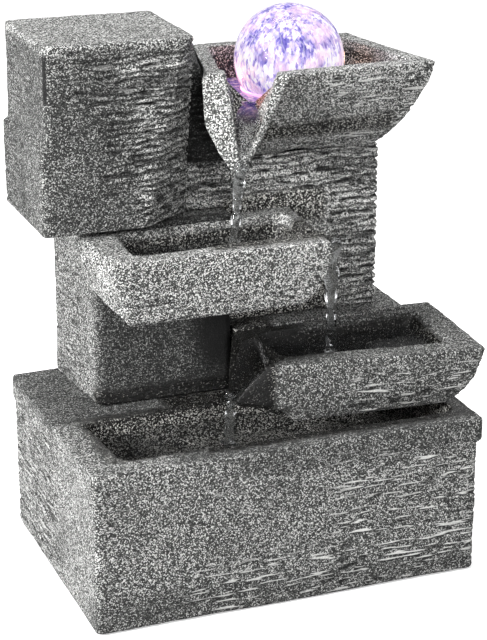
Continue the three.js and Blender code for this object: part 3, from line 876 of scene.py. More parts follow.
@dataclass
class StoneCasting:
    """One casting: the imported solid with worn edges, a sandy face and chisel strokes."""

    SHIFT: ClassVar[float] = 0.37  # millimetres between the noise of one patch of strokes and the next
    LIP_HEIGHT: ClassVar[float] = 0.22  # how far a full lip stands proud, in millimetres
    INSET: ClassVar[float] = 0.25  # how far the whole skin is drawn in, in millimetres
    LIFT: ClassVar[float] = 0.2  # the least height above the table, in millimetres

    node: str
    material: bpy.types.Material
    body: str = "fountain"
    voxel: float = 1.0
    chisels: tuple[Chisel, ...] = ()
    wet: tuple[WetZone, ...] = ()
    wear: int = 5
    tone: float = 0.66
    # Zones where the tone is painted, mostly as painted shade and painted light.
    tone_and_shade_zones: tuple[ToneAndShadeZone, ...] = ()
    seed: int = 11

    def build(self) -> bpy.types.Object:
        """Makes the casting's stone skin.

        Returns:
            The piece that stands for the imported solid.
        """
        mesh = settled(frame["nodes"][self.node], (
            ("REMESH", {"mode": "VOXEL", "voxel_size": self.voxel * MM, "adaptivity": 0.0}),
            ("SMOOTH", {"factor": 0.5, "iterations": self.wear}),
        ))
        self.carve(mesh)
        piece = link(self.node.replace("_casting", "") + "_stone", mesh, self.material)
        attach(piece, self.body)
        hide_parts(self.node)
        return piece

    def carve(self, mesh: bpy.types.Mesh) -> None:
        """Moves the skin's points for sand, wear and strokes, and paints where it is carved or wet and
        its tone, with painted shade and painted light.
        """
        points = vectors(mesh.vertices, "co")
        normals = vectors(mesh.vertex_normals, "vector")
        here = measure(points)
        count = len(points)
        grain = Grain(self.seed)
        swell = grain.at(here, (19.0,) * 3) * 0.34 + grain.at(here + 31.0, (7.0,) * 3) * 0.16
        sand = grain.at(here, (1.5,) * 3) * 0.08
        patchy = 1.0 + 0.5 * grain.at(here, (13.0, 13.0, 9.0))
        depth = np.zeros(count)
        painted = {name: np.zeros(count) for name in ("carve", "lip", "dark", "pale", "wet")}
        for number, chisel in enumerate(self.chisels):
            cut, lip = chisel.cut(here + number * self.SHIFT, normals, grain)
            depth -= cut * chisel.depth
            depth += lip * self.LIP_HEIGHT
            # The finish reads the cut, lip, dark and pale masks as painted shade in the cuts and grooves
            # and painted highlights on the lips and scores.
            patch = np.clip(chisel.patch(here, normals) * patchy, 0, 1)
            for name, values in (("carve", cut), ("lip", lip), ("dark", patch * chisel.dark),
                                 ("pale", patch * chisel.pale)):
                painted[name] = np.maximum(painted[name], values)
        move = swell - self.INSET + sand + depth
        points += normals * (move * MM)[:, None]
        points[:, 2] = np.maximum(points[:, 2], TABLE + self.LIFT * MM)
        put_points(mesh, points)
        for zone in self.wet:
            painted["wet"] = np.maximum(painted["wet"], soft_box(here, zone.low, zone.high, zone.soft))
        soaked = painted["wet"]
        edge = (soaked > 0.05) * (soaked < 0.95)
        painted["wet"] = np.clip(soaked + 0.2 * grain.at(here, (6.0,) * 3) * edge, 0, 1)
        # The painted tone: the casting's own tone, changed zone by zone, mostly to paint shade and
        # light.
        painted["tone"] = np.full(count, self.tone)
        for shade in self.tone_and_shade_zones:
            painted["tone"] += (shade.tone - painted["tone"]) * shade.mask(here)
        for name, values in painted.items():
            paint(mesh, name, values)


@dataclass
class Castings:
    """All the stone-look castings, with their own chisel work and wet places."""

    stone: bpy.types.Material
    seed: int = 11

    def build(self) -> list[bpy.types.Object]:
        """Makes every casting, and the mortar that shows between them."""
        grain = Grain(self.seed)
        beads = [mortar.build(self.stone, grain) for mortar in (NECK_MORTAR, SIDE_MORTAR)]
        return [casting.build() for casting in self.all()] + beads

    def all(self) -> list[StoneCasting]:
        """Lists the castings."""
        front, left, right, back = Side.FRONT, Side.LEFT, Side.RIGHT, Side.BACK
        far = 200.0
        basin = StoneCasting("basin_casting", self.stone, voxel=1.15, chisels=(
            Chisel(front, (34, -far, 8), (104, 0, 62), 0.5, 4.8, 12.0, 0.0, 0.30, 24.0, 0.0, 1.0),
            Chisel(front, (-50, -far, 2), (50, 0, 22), 0.4, 4.6, 12.0, 0.0, 0.34, 16.0, 0.0, 0.8),
            Chisel(left, (-far, 4, 3), (0, far, 66), 0.8, 4.2, 16.0, -0.1, 0.0, 26.0, 0.5, 0.5),
            Chisel(right, (0, -far, 3), (far, far, 72), 0.8, 4.2, 15.0, 0.0, 0.1, 8.0, 0.3, 0.7),
            Chisel(back, (-far, 0, 3), (far, far, 70), 0.8, 4.2, 15.0, 0.0, 0.1, 8.0, 0.3, 0.7),
        ), wet=(
            WetZone((-92, -62, 0), (100, -2, 87), 2.5),
            WetZone((-40, -66, 80), (104, 10, 90), 5.0),
            WetZone((-100, -70, 8), (102, 69, 70), 1.0),
        ), wear=9, tone_and_shade_zones=(
            # Painted light and shade on the basin: the left face lighter, the front's top band, the
            # rim's top and the deck darker, the front darker towards the bottom, and the stone under the
            # pool painted lighter.
            ToneAndShadeZone((-110, -72, 4), (-105, 80, 84), 0.70, 1.5),
            ToneAndShadeZone((-30, -80, 76), (112, -75, 88), 0.52, 4.0),
            ToneAndShadeZone((-110, -4, 85), (110, 80, 90), 0.48, 4.0),
            ToneAndShadeZone((-60, -74, 85), (110, -58, 90), 0.44, 4.0),
            ToneAndShadeZone((-104, -80, 0), (110, -70, 10), 0.5, 14.0),
            ToneAndShadeZone((-92, -63, 60), (101, -1, 84), 1.0, 1.5),
        ))
        pillar = StoneCasting("pillar_casting", self.stone, voxel=1.0, chisels=(
            Chisel(left, (-far, 40, 90), (0, far, 186), 0.5, 4.4, 12.0, 0.0, 0.22, 12.0),
            Chisel(back, (-far, 0, 90), (far, far, 186), 0.6, 4.2, 15.0, 0.0, 0.18, 8.0),
        ), wet=(WetZone((-78, 0, 80), (2, 14, 94), 6.0),), tone_and_shade_zones=(
            # Painted shade on the pillar's front under the middle bowl, and a near-black soft oval at
            # its right, painted for the bowls' shadow and for wet stone together.
            ToneAndShadeZone((-74, 0, 80), (4, 14, 190), 0.33, 4.0),
            ToneAndShadeZone((-30, -6, 90), (16, 26, 152), 0.02, oval=True),
        ))
        block = StoneCasting("block_casting", self.stone, voxel=0.95, wear=9, chisels=(
            Chisel(front, (-90, -far, 256), (0, 40, 277), 0.6, 3.2, 24.0, -0.02, 0.0, 7.0, 0.6, 0.2),
            Chisel(front, (-66, -far, 216), (0, 60, 270), 1.0, 3.3, 20.0, -0.04, -0.25, 16.0, 0.8),
            Chisel(front, (-50, -far, 190), (0, 60, 262), 1.7, 3.4, 18.0, -0.05, -0.3, 9.0, 1.0),
            Chisel(left, (-far, 44, 190), (0, far, 226), 0.6, 3.6, 12.0, 0.05, 0.1, 16.0),
            Chisel(left, (-far, 20, 250), (0, far, 276), 0.4, 3.6, 12.0, 0.0, 0.25, 8.0),
            Chisel(right, (-30, -far, 190), (far, far, 280), 1.0, 3.6, 15.0, 0.0, 0.05, 8.0),
            Chisel(back, (-far, 0, 190), (far, far, 280), 0.8, 3.8, 16.0, 0.0, 0.1, 8.0),
        ), tone=0.5, tone_and_shade_zones=(
            # Painted light and shade on the block: the front darker at its left and lighter at its
            # right, the top lighter where the light falls on it, and a near-black slit at the front's
            # left edge, painted shade in a crack.
            ToneAndShadeZone((-110, -5, 190), (-102.5, 80, 280), 0.49, 1.5),
            ToneAndShadeZone((-60, -6, 190), (-15, 30, 270), 0.84, 10.0),
            ToneAndShadeZone((-110, -5, 281), (0, 80, 290), 0.74, 3.0),
            ToneAndShadeZone((-98, -6, 190), (-60, 3, 262), 0.47, 8.0),
            ToneAndShadeZone((-103.2, -3, 256), (-101.8, 2.5, 279), 0.06, 0.9),
        ))
        tower = StoneCasting("tower_casting", self.stone, voxel=0.95, wear=4, chisels=(
            Chisel(front, (-22, -far, 193), (95, 60, 258), 1.5, 3.4, 20.0, -0.03, -0.35, 6.0, 1.0),
            Chisel(front, (66, -far, 118), (95, 60, 215), 1.9, 3.9, 11.0, 0.0, -0.4, 8.0, 1.0),
            Chisel(right, (0, -far, 118), (far, far, 214), 1.7, 4.1, 13.0, 0.0, -0.4, 6.0, 0.8),
            Chisel(back, (-far, 0, 118), (far, far, 214), 1.2, 4.0, 16.0, 0.0, -0.2, 6.0),
        ), wet=(
            WetZone((0, 10, 176), (56, 24, 190), 5.0),
            WetZone((4, 10, 122), (60, 24, 150), 9.0),
        # Painted shade: the tower is painted dark between the block and the top bowl.
        ), tone=0.98, tone_and_shade_zones=(ToneAndShadeZone((-30, 16, 213), (20, 80, 262), 0.14, 3.0),))
        pedestal = StoneCasting("pedestal_casting", self.stone, voxel=1.0, chisels=(
            Chisel(right, (0, -far, 88), (far, far, 120), 0.8, 4.0, 14.0, 0.0, 0.1, 5.0),
            Chisel(back, (-far, 0, 88), (far, far, 120), 0.8, 4.0, 14.0, 0.0, 0.1, 5.0),
        ), wet=(WetZone((-2, 0, 84), (20, 20, 122), 6.0),))
        top = StoneCasting("top_bowl", self.stone, voxel=0.85, wear=4, chisels=(
            Chisel(front, (52, -far, 216), (112, 60, 254), 0.5, 4.6, 11.0, -0.05, 0.3, 14.0, 0.0, 0.8),
            Chisel(front, (34, -far, 213), (112, 60, 219), 0.9, 3.0, 22.0, -0.04, -0.1, 4.0, 0.6),
            Chisel(right, (60, -far, 214), (far, far, 258), 0.8, 3.8, 14.0, 0.0, 0.08, 8.0),
            Chisel(back, (-far, 40, 214), (far, far, 258), 0.8, 3.8, 16.0, 0.0, 0.1, 8.0),
        ), wet=(
            WetZone((2, 2, 226), (88, 64, 258), 3.0),
            WetZone((-6, -14, 226), (10, 8, 240), 4.0),
        ), tone=0.82)
        middle = StoneCasting("middle_bowl", self.stone, voxel=0.95, wear=5, chisels=(
            Chisel(front, (-80, -far, 148), (34, 0, 160), 0.45, 3.8, 14.0, -0.03, 0.26, 8.0),
            Chisel(left, (-far, -60, 150), (0, far, 184), 1.5, 5.0, 22.0, -0.9, -0.1, 8.0),
        ), wet=(
            WetZone((-70, -35, 155), (31, 11, 178), 3.0),
            WetZone((-26, -36, 172), (44, -8, 186), 7.0),
            WetZone((32, -34, 156), (46, -12, 184), 4.0),
        ), tone=0.8)
        lower = StoneCasting("lower_bowl", self.stone, voxel=0.9, wear=5, chisels=(
            Chisel(front, (50, -far, 88), (122, 0, 108), 0.5, 4.2, 12.0, -0.05, 0.26, 12.0, 0.0, 0.7),
            Chisel(right, (60, -far, 88), (far, far, 116), 0.9, 4.0, 14.0, 0.0, 0.0, 8.0),
        ), wet=(
            WetZone((8, -47, 94), (107, 7, 117), 3.5),
            WetZone((-30, -60, 84), (1, 12, 126), 3.0),
            WetZone((-6, -37, 104), (34, 12, 124), 5.0),
        ), tone=0.56, tone_and_shade_zones=(
            # The spout and the bowl's inside are painted darker, partly as painted shade between the
            # pillar and the bowl and partly for wet stone.
            ToneAndShadeZone((-30, -60, 84), (-2, 12, 126), 0.3, 3.0),
            ToneAndShadeZone((2, -44, 95), (98, 5, 119), 0.46, 3.0),
            ToneAndShadeZone((2, -40, 95), (34, 5, 124), 0.32, 8.0),
        ))
        cover = StoneCasting("rear_cover", self.stone, body="hatch", voxel=0.85, wear=3, chisels=(
            Chisel(back, (-far, 0, 112), (far, far, 182), 0.5, 4.2, 15.0, 0.0, 0.2, 4.0),
        ))
        return [basin, pillar, block, tower, pedestal, top, middle, lower, cover]


@dataclass(frozen=True)
class Mortar:
    """A rough bead of dark bedding mortar pressed into the seam between two castings."""

    name: str
    start: Point
    end: Point
    widths: tuple[float, float]
    widening: float = 1.0  # how much wider the bead's far end is
    level: bool = False
    tone: float = 0.3
    steps: int = 60

    def build(self, material: bpy.types.Material, grain: Grain) -> bpy.types.Object:
        """Makes the bead.

        Args:
            material: the stone's finish.
            grain: the noise that roughens it.

        Returns:
            The piece.
        """
        part = np.linspace(0.0, 1.0, self.steps)[:, None]
        path = np.array(self.start) + (np.array(self.end) - np.array(self.start)) * part
        rough = 1.0 + 0.08 * grain.at(path, (3.0, 3.0, 3.0))
        widths = np.array([self.widths]) * rough[:, None]
        widths[:, 0] *= 1.0 + (self.widening - 1.0) * part[:, 0]
        mesh = swept(self.name, path, widths, sides=20, level=self.level)
        paint(mesh, "tone", np.full(len(mesh.vertices), self.tone))
        piece = link(self.name, mesh, material)
        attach(piece, "fountain")
        return piece


NECK_MORTAR = Mortar("mortar_neck", (-18.0, 22.0, 258.2), (-12.5, 73.6, 263.4), (5.4, 8.0), 2.2, True)
SIDE_MORTAR = Mortar("mortar_side", (0.15, 71.5, 122.6), (0.15, 71.5, 185.0), (1.5, 1.9))


# ---------------- ball


@dataclass
class GlassBall:
    """The glass ball: a clear skin over a crackled layer that carries the light."""

    skin: bpy.types.Material
    crackle: bpy.types.Material
    depth: float = 0.045  # how far the crackle lies under the skin, as a share of the radius
    crazing: float = 0.35  # how deep the crackle's facets are, in millimetres
    detail: int = 6  # how often the first twenty faces are split
    seed: int = 5

    def __post_init__(self) -> None:
        """Reads the ball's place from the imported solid."""
        self.centre, self.radius = ball_place()

    def build(self) -> list[bpy.types.Object]:
        """Makes the skin and the crackle."""
        skin = self.sphere("ball_skin", self.radius * 0.999, 0.0)
        core = self.sphere("ball_crackle", self.radius * (1.0 - self.depth), self.crazing)
        pieces = [link("ball_skin", skin, self.skin), link("ball_crackle", core, self.crackle)]
        for piece in pieces:
            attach(piece, "ball")
        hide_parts("glass_ball")
        return pieces

    def sphere(self, name: str, radius: float, crazing: float) -> bpy.types.Mesh:
        """A round mesh whose face may be crazed into small facets.

        Args:
            name: the mesh's name.
            radius: its radius in metres.
            crazing: how deep the facets are, in millimetres.

        Returns:
            The mesh.
        """
        body = bmesh.new()
        bmesh.ops.create_icosphere(body, subdivisions=self.detail, radius=radius)
        mesh = bpy.data.meshes.new(name)
        body.to_mesh(mesh)
        body.free()
        points = vectors(mesh.vertices, "co")
        grain = Grain(self.seed)
        steps = np.round(grain.at(points / MM, (2.6, 2.6, 5.0)) * 3.0) / 3.0
        points *= (1.0 + np.minimum(steps, 0.6) * crazing * MM / radius)[:, None]
        put_points(mesh, points + np.array(self.centre))
        return mesh


# ---------------- water


@dataclass(frozen=True)
class Pool:
    """One sheet of water: its level, outline, and where streams fall into it."""

    # The four neighbours of a square of the sheet, each with the corners of the edge that they share.
    EDGES: ClassVar = (((-1, 0), (3, 0)), ((1, 0), (1, 2)), ((0, -1), (0, 1)), ((0, 1), (2, 3)))

    name: str
    level: float
    outline: tuple[tuple[float, float], ...]
    falls: tuple[tuple[float, float], ...] = ()
    spacing: float = 1.3
    thick: float = 1.4
    chop: float = 0.28  # how high the small waves are
    splash: float = 0.75  # how high the rings round a fall are
    spread: float = 9.0  # how far the rings reach

    def holds(self, x: np.ndarray, y: np.ndarray) -> np.ndarray:
        """Says which places lie inside the outline."""
        inside = np.zeros(x.shape, bool)
        count = len(self.outline)
        for i in range(count):
            (x0, y0), (x1, y1) = self.outline[i], self.outline[(i + 1) % count]
            crosses = (y0 > y) != (y1 > y)
            edge = x0 + (y - y0) * (x1 - x0) / (y1 - y0 if y1 != y0 else 1.0)
            inside ^= crosses & (x < edge)
        return inside

    def build(self, material: bpy.types.Material, grain: Grain) -> bpy.types.Object:
        """Makes the sheet, rippled round each fall.

        Args:
            material: the water's finish.
            grain: the noise for the small waves.

        Returns:
            The piece.
        """
        corners = np.array(self.outline)
        low, high = corners.min(0), corners.max(0)
        columns = np.arange(low[0], high[0], self.spacing)
        rows = np.arange(low[1], high[1], self.spacing)
        x, y = np.meshgrid(columns, rows, indexing="ij")
        flat = np.stack([x.ravel(), y.ravel(), np.full(x.size, self.level)], axis=1)
        z = self.chop * grain.at(flat, (9.0,) * 3).reshape(x.shape)
        for fall_x, fall_y in self.falls:
            away = np.hypot(x - fall_x, y - fall_y)
            z += self.splash * np.exp(-away / self.spread) * np.cos(away * 1.25)
        keep = self.holds(x, y)
        cell = keep[:-1, :-1] & keep[1:, :-1] & keep[:-1, 1:] & keep[1:, 1:]
        number = np.arange(x.size).reshape(x.shape)
        top = np.stack([x, y, self.level + z], axis=-1).reshape(-1, 3)
        under = top.copy()
        under[:, 2] = self.level - self.thick
        faces = []
        for i, j in np.argwhere(cell):
            loop = [number[i, j], number[i + 1, j], number[i + 1, j + 1], number[i, j + 1]]
            faces.append(loop)
            faces.append([k + x.size for k in reversed(loop)])
            for (di, dj), (a, b) in self.EDGES:
                ni, nj = i + di, j + dj
                if not (0 <= ni < cell.shape[0] and 0 <= nj < cell.shape[1] and cell[ni, nj]):
                    faces.append([loop[b], loop[a], loop[a] + x.size, loop[b] + x.size])
        used = sorted({int(k) for face in faces for k in face})
        renumber = {old: new for new, old in enumerate(used)}
        points = np.concatenate([top, under])[used]
        mesh = from_rows(self.name, points, [[renumber[int(k)] for k in face] for face in faces])
        return link(self.name, mesh, material)


@dataclass(frozen=True)
class Stream:
    """A stream that falls from a spout into the pool below."""

    name: str
    start: Point
    end: Point
    wide: float = 4.2
    thin: float = 2.4
    twist: float = 1.4
    reach: float = 0.45  # how early it turns down: the lower, the steeper at its start
    narrow: float = 0.25  # how much thinner it is at its foot
    steps: int = 90

    def build(self, material: bpy.types.Material, grain: Grain) -> bpy.types.Object:
        """Makes the falling stream.

        Args:
            material: the water's finish.
            grain: the noise that swells and pinches it.

        Returns:
            The piece.
        """
        part = np.linspace(0.0, 1.0, self.steps)
        start, end = np.array(self.start), np.array(self.end)
        path = np.empty((self.steps, 3))
        for axis in (0, 1):
            path[:, axis] = start[axis] + (end[axis] - start[axis]) * part ** self.reach
        path[:, 2] = start[2] + (end[2] - start[2]) * part
        path[:, 0] += 0.5 * grain.at(path + 3.0, (8.0, 8.0, 8.0)) * part
        swell = 1.0 + 0.30 * grain.at(path, (5.0, 5.0, 5.0)) + 0.10 * grain.at(path, (2.0, 2.0, 2.0))
        taper = 1.0 - self.narrow * part + 0.5 * np.clip(part - 0.94, 0, 1) / 0.06
        widths = np.stack([self.wide * swell * taper, self.thin * swell * taper], axis=1)
        mesh = swept(self.name, path, widths, sides=18, lobes=0.45, twist=self.twist)
        return link(self.name, mesh, material)


@dataclass(frozen=True)
class Tongue:
    """A thin, fast film of water that slides down a spout."""

    name: str
    route: tuple[Point, ...]
    widths: tuple[float, ...]
    thick: float = 0.9
    lit: bool = False  # whether it shows the ball's light, as the pools do

    def build(self, material: bpy.types.Material, grain: Grain) -> bpy.types.Object:
        """Makes the film.

        Args:
            material: the water's finish.
            grain: the noise that ripples it.

        Returns:
            The piece.
        """
        steps = 44
        path = smooth_path(self.route, steps)
        path[:, 2] += 0.25 * grain.at(path, (4.0, 4.0, 4.0))
        wide = np.interp(np.linspace(0, 1, steps), np.linspace(0, 1, len(self.widths)), self.widths)
        ends = np.sin(math.pi * np.linspace(0.03, 0.97, steps)) ** 0.25
        widths = np.stack([wide * ends, np.full(steps, self.thick) * ends], axis=1)
        return link(self.name, swept(self.name, path, widths, sides=14, level=True), material)


@dataclass
class Waterworks:
    """The water in the bowls and the basin, the streams between them and the bead round the ball."""

    pool: bpy.types.Material
    clear: bpy.types.Material
    glow: bpy.types.Material
    top_level: float = 246.0
    middle_level: float = 176.0
    lower_level: float = 113.5
    basin_level: float = 79.0
    bead_width: float = 0.85
    seed: int = 23

    def pools(self) -> tuple[Pool, ...]:
        """Lists the sheets of water."""
        return (
            Pool("water_top_bowl", self.top_level, ((4, 9), (19, 1.5), (91, 3), (83, 65), (8, 65))),
            Pool("water_middle_bowl", self.middle_level,
                 ((-70, -35), (27, -30.5), (30, 12), (1, 9.2), (-68, 6.8)), ((-12.5, -24),)),
            Pool("water_lower_bowl", self.lower_level,
                 ((9.5, -36.5), (101, -46.5), (104.5, 6), (9.5, 3)), ((44, -20),)),
            Pool("water_basin", self.basin_level,
                 ((-88, -63), (100, -63), (101, -1), (-8, -1), (-92, -7)), ((-21, -40),)),
        )

    def streams(self) -> tuple[Stream, ...]:
        """Lists the falling streams."""
        return (
            Stream("stream_top", (-8.6, -27.4, 222.5), (-12.5, -25.0, self.middle_level - 0.5),
                   twist=1.7),
            Stream("stream_middle", (41.5, -23.0, 174.0), (44.0, -20.5, self.lower_level - 0.5),
                   wide=7.0, thin=3.6, twist=1.2, narrow=0.5),
            Stream("stream_lower", (-19.5, -40.0, 105.5), (-21.0, -40.5, self.basin_level - 0.5),
                   twist=0.8),
        )

    def tongues(self) -> tuple[Tongue, ...]:
        """Lists the films on the spouts."""
        return (
            Tongue("film_top_spout", ((19, 12, 244.8), (8, -1, 242.2), (-2, -14, 234.4),
                                      (-7.6, -25.5, 224.6), (-8.6, -27.6, 221.5)),
                   (13.0, 10.5, 5.0, 2.8, 2.4), lit=True),
            Tongue("film_middle_lip", ((16, -23, 175.6), (28, -23, 176.4), (38.5, -23, 176.0),
                                       (41.6, -23, 173.0)), (3.4, 3.0, 3.0, 3.4)),
            Tongue("film_lower_spout", ((22, -20, 112.8), (8, -26, 110.2), (-8, -36, 107.2),
                                        (-18, -40, 105.8), (-20, -40, 103.5)),
                   (7.0, 5.0, 3.2, 2.6, 2.4)),
        )

    def build(self) -> list[bpy.types.Object]:
        """Makes all the water."""
        grain = Grain(self.seed)
        pieces = [pool.build(self.pool, grain) for pool in self.pools()]
        pieces += [stream.build(self.clear, grain) for stream in self.streams()]
        pieces += [film.build(self.pool if film.lit else self.clear, grain) for film in self.tongues()]
        pieces.append(self.bead())
        for piece in pieces:
            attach(piece, "fountain")
        return pieces

    def bead(self) -> bpy.types.Object:
        """The raised bead where the water meets the ball."""
        middle, radius = ball_place()
        centre = measure(np.array([middle]))[0]
        ring = math.sqrt((radius / MM) ** 2 - (centre[2] - self.top_level) ** 2) + 0.5
        turn = np.linspace(0.0, 2.0 * math.pi, 121)
        path = np.stack([
            centre[0] + ring * np.cos(turn), centre[1] + ring * np.sin(turn),
            np.full(len(turn), self.top_level + 0.3),
        ], axis=1)
        widths = np.full((len(turn), 2), self.bead_width)
        return link("water_bead", swept("water_bead", path, widths, 10, level=True), self.glow)


# ---------------- hose and lead


@dataclass(frozen=True)
class Hose:
    """A hose or lead that is clipped inside the castings along its whole route."""

    name: str
    node: str
    slot: str
    route: tuple[Point, ...]
    radius: float
    steps: int = 160

    def build(self, material: bpy.types.Material) -> bpy.types.Object:
        """Makes the hose round along its route."""
        path = smooth_path(self.route, self.steps)
        widths = np.full((self.steps, 2), self.radius)
        piece = link(self.name, swept(self.name, path, widths, sides=20), material)
        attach(piece, "fountain")
        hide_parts(self.node)
        return piece


RISER = Hose("riser_hose", "riser_tube", "clear_plastic", (
    (-33, 40.5, 55.4), (-33, 40.5, 80), (-33, 41.5, 120), (-31, 43.5, 146), (-18, 46, 162), (0, 47, 167),
    (20, 44, 172), (34, 40, 182), (39.3, 36, 197), (39.3, 36, 207), (39.3, 36, 216.2),
), 4.9)
LEAD = Hose("light_cable", "light_lead", "black_rubber", (
    (47.3, 31, 214.1), (47.3, 31, 210.6), (48.3, 34, 205), (48, 50, 192), (30, 56, 184), (10, 57, 175),
    (-8, 57, 171), (-24, 56, 160), (-40, 54, 140), (-46, 52, 100), (-46, 50, 66), (-46, 50, 50.3),
), 1.55)


# ---------------- fittings


@dataclass
class Fittings:
    """The pump, light, feet and grommet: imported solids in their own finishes, and the foam block."""

    rubber: bpy.types.Material
    black: bpy.types.Material
    grey: bpy.types.Material
    clear: bpy.types.Material
    ceramic: bpy.types.Material
    ferrite: bpy.types.Material
    foam: bpy.types.Material
    board: bpy.types.Material
    pore_size: float = 1.1
    pore_depth: float = 0.5
    seed: int = 7

    def dress(self) -> list[str]:
        """Gives each carried-over solid the finish of its record slot.

        Returns:
            The names of the solids that were dressed.
        """
        finishes = {
            "black_rubber": self.rubber, "black_plastic": self.black, "grey_plastic": self.grey,
            "clear_plastic": self.clear, "white_ceramic": self.ceramic, "rotor_ferrite": self.ferrite,
            "circuit_board": self.board,
        }
        dressed = []
        for part in frame["record"]["subparts"]:
            finish = finishes.get(part["material_slot"])
            if finish is None:
                continue
            solid = frame["nodes"][part["node"]]
            if not solid.material_slots:
                solid.data.materials.append(finish)
            for holder in solid.material_slots:
                holder.material = finish
            dressed.append(part["node"])
        return dressed

    def sponge(self) -> bpy.types.Object:
        """Makes the filter foam: a soft-edged block with open pores."""
        mesh = settled(frame["nodes"]["filter_sponge"], (
            ("REMESH", {"mode": "VOXEL", "voxel_size": 0.7 * MM, "adaptivity": 0.0}),
            ("SMOOTH", {"factor": 0.5, "iterations": 6}),
        ))
        points = vectors(mesh.vertices, "co")
        pores = Grain(self.seed).at(measure(points), (self.pore_size,) * 3)
        sunk = self.pore_depth * smoothstep(0.05, 0.5, pores) * MM
        put_points(mesh, points - vectors(mesh.vertex_normals, "vector") * sunk[:, None])
        piece = link("filter_foam_block", mesh, self.foam)
        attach(piece, "intake_grille")
        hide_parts("filter_sponge")
        return piece


# ---------------- studio


def hang(name: str, lamp: bpy.types.Light, at: Point) -> bpy.types.Object:
    """Puts a lamp in the scene, at a place in the basin's millimetres."""
    holder = bpy.data.objects.new(name, lamp)
    holder.location = place(*at)
    bpy.context.scene.collection.objects.link(holder)
    return holder


@dataclass(frozen=True)
class SoftBox:
    """A square studio light that looks at the fountain."""

    name: str
    place: Point
    aim: Point
    size: float
    watts: float

    def build(self) -> None:
        """Hangs the light, with its place and size in millimetres."""
        lamp = bpy.data.lights.new(self.name, "AREA")
        lamp.shape = "SQUARE"
        lamp.size = self.size * MM
        lamp.energy = self.watts
        holder = hang(self.name, lamp, self.place)
        look = place(*self.aim) - holder.location
        holder.rotation_euler = look.to_track_quat("-Z", "Y").to_euler()


@dataclass(frozen=True)
class Glow:
    """A small coloured lamp under or beside the ball."""

    name: str
    place: Point
    watts: float
    colour: Colour
    radius: float = 4.0

    def build(self) -> None:
        """Sets the lamp in the bowl."""
        lamp = bpy.data.lights.new(self.name, "POINT")
        lamp.energy = self.watts
        lamp.color = self.colour
        lamp.shadow_soft_size = self.radius * MM
        hang(self.name, lamp, self.place)


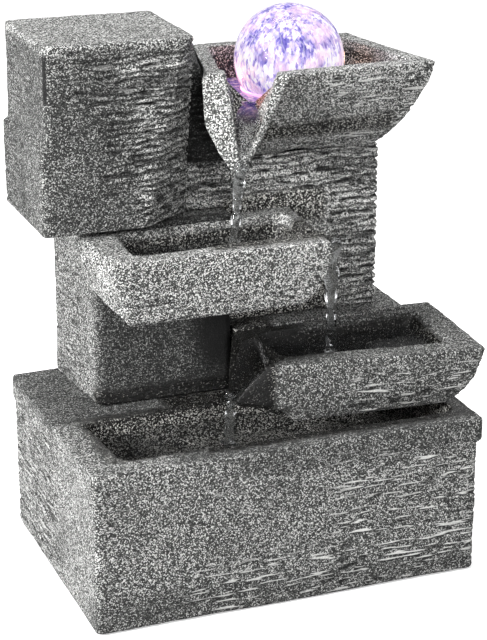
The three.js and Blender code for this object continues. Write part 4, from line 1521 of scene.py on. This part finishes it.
@dataclass
class Studio:
    """Pale floor, soft light and the camera."""

    paper: bpy.types.Material
    eye: Point = (-365.3, -951.5, 496.7)
    azimuth: float = -22.70  # degrees, turned from looking straight at the front
    elevation: float = 19.57  # degrees, looking down
    roll: float = 0.62
    lens: float = 114.89
    sensor: float = 36.0
    shift: tuple[float, float] = (-0.0831, -0.0108)
    sky: float = 0.55

    def build(self) -> None:
        """Sets up the camera, the floor and the lights."""
        self.camera()
        self.floor()
        self.world()
        for light in self.lights():
            light.build()

    def camera(self) -> None:
        """Places the camera."""
        data = bpy.data.cameras.new("camera")
        data.lens = self.lens
        data.sensor_width = self.sensor
        data.shift_x, data.shift_y = self.shift
        data.clip_start = 0.01
        holder = bpy.data.objects.new("camera", data)
        turn = Matrix.Rotation(math.radians(self.azimuth), 4, "Z")
        tilt = Matrix.Rotation(math.radians(90.0 - self.elevation), 4, "X")
        lean = Matrix.Rotation(math.radians(self.roll), 4, "Z")
        holder.matrix_world = Matrix.Translation(place(*self.eye)) @ turn @ tilt @ lean
        bpy.context.scene.collection.objects.link(holder)
        bpy.context.scene.camera = holder

    def floor(self) -> None:
        """Lays the floor, a wide sheet at the feet."""
        reach = 4.0
        mesh = bpy.data.meshes.new("floor")
        corners = [(-reach, -reach, 0), (reach, -reach, 0), (reach, reach, 0), (-reach, reach, 0)]
        mesh.from_pydata(corners, [], [range(len(corners))])
        link("floor", mesh, self.paper)

    def world(self) -> None:
        """Surrounds the fountain with even white light."""
        world = bpy.data.worlds.new("studio")
        world.use_nodes = True
        tree = world.node_tree
        soft = tree.nodes["Background"]
        soft.inputs["Color"].default_value = (1.0, 1.0, 1.0, 1.0)
        soft.inputs["Strength"].default_value = self.sky
        backdrop = tree.nodes.new("ShaderNodeBackground")
        backdrop.inputs["Color"].default_value = (1.0, 1.0, 1.0, 1.0)
        path = tree.nodes.new("ShaderNodeLightPath")
        choice = tree.nodes.new("ShaderNodeMixShader")
        tree.links.new(path.outputs["Is Camera Ray"], choice.inputs[0])
        tree.links.new(soft.outputs[0], choice.inputs[1])
        tree.links.new(backdrop.outputs[0], choice.inputs[2])
        tree.links.new(choice.outputs[0], tree.nodes["World Output"].inputs["Surface"])
        bpy.context.scene.world = world
        bpy.context.scene.view_settings.view_transform = "Standard"

    def lights(self) -> list[SoftBox | Glow]:
        """Lists the lights."""
        return [
            SoftBox("key_left", (-1150, -330, 560), (0, 0, 130), size=320, watts=30.0),
            SoftBox("top_rim", (0, 200, 1300), (0, 0, 150), size=600, watts=12.0),
            SoftBox("front_fill", (-100, -1300, 500), (0, 0, 120), size=1000, watts=8.0),
            Glow("ball_violet", (30, 2, 250), watts=0.02, colour=(0.45, 0.35, 1.0)),
            Glow("ball_rose", (7, 34, 254), watts=0.015, colour=(1.0, 0.32, 0.25)),
            Glow("ball_warm", (76, 40, 258), watts=0.006, colour=(1.0, 0.6, 0.4)),
        ]


def main() -> None:
    """Builds every sub-assembly in order and reports its pieces."""
    logging.basicConfig(level=logging.INFO, format="%(name)s: %(message)s")
    water = Clear("stream_water", (0.97, 0.99, 1.0), 0.01, ior=1.33, ripple=2.4, wobble=0.6).make()
    Studio(StudioPaper().make()).build()
    for piece in Castings(SpeckledStone().make()).build():
        LOG.info("casting %s, %d faces", piece.name, len(piece.data.polygons))
    centre, _ = ball_place()
    glass = Clear("ball_glass", (1.0, 1.0, 1.0), 0.0, ior=1.12, ripple=9.0).make()
    for piece in GlassBall(glass, CrackleLight(centre).make()).build():
        LOG.info("ball %s", piece.name)
    for piece in Waterworks(PoolWater(centre).make(), water, WaterlineGlow().make()).build():
        LOG.info("water %s", piece.name)
    fittings = Fittings(
        rubber=Moulded("black_rubber", (0.022, 0.022, 0.022), 0.72, texture=0.3).make(),
        black=Moulded("black_plastic", (0.014, 0.014, 0.016), 0.42).make(),
        grey=Moulded("grey_plastic", (0.25, 0.26, 0.27), 0.45).make(),
        clear=Clear("clear_plastic", (0.92, 0.96, 0.97), 0.08, ior=1.46).make(),
        ceramic=Moulded("white_ceramic", (0.80, 0.80, 0.77), 0.22, texture=0.5, mottle=0.04).make(),
        ferrite=Moulded("rotor_ferrite", (0.045, 0.045, 0.05), 0.4, texture=0.25, mottle=0.3).make(),
        foam=Foam().make(),
        board=CircuitLacquer().make(),
    )
    for piece in (RISER.build(fittings.clear), LEAD.build(fittings.rubber), fittings.sponge()):
        LOG.info("fitting %s", piece.name)
    LOG.info("dressed %s", ", ".join(fittings.dress()))


if __name__ == "__main__":
    main()
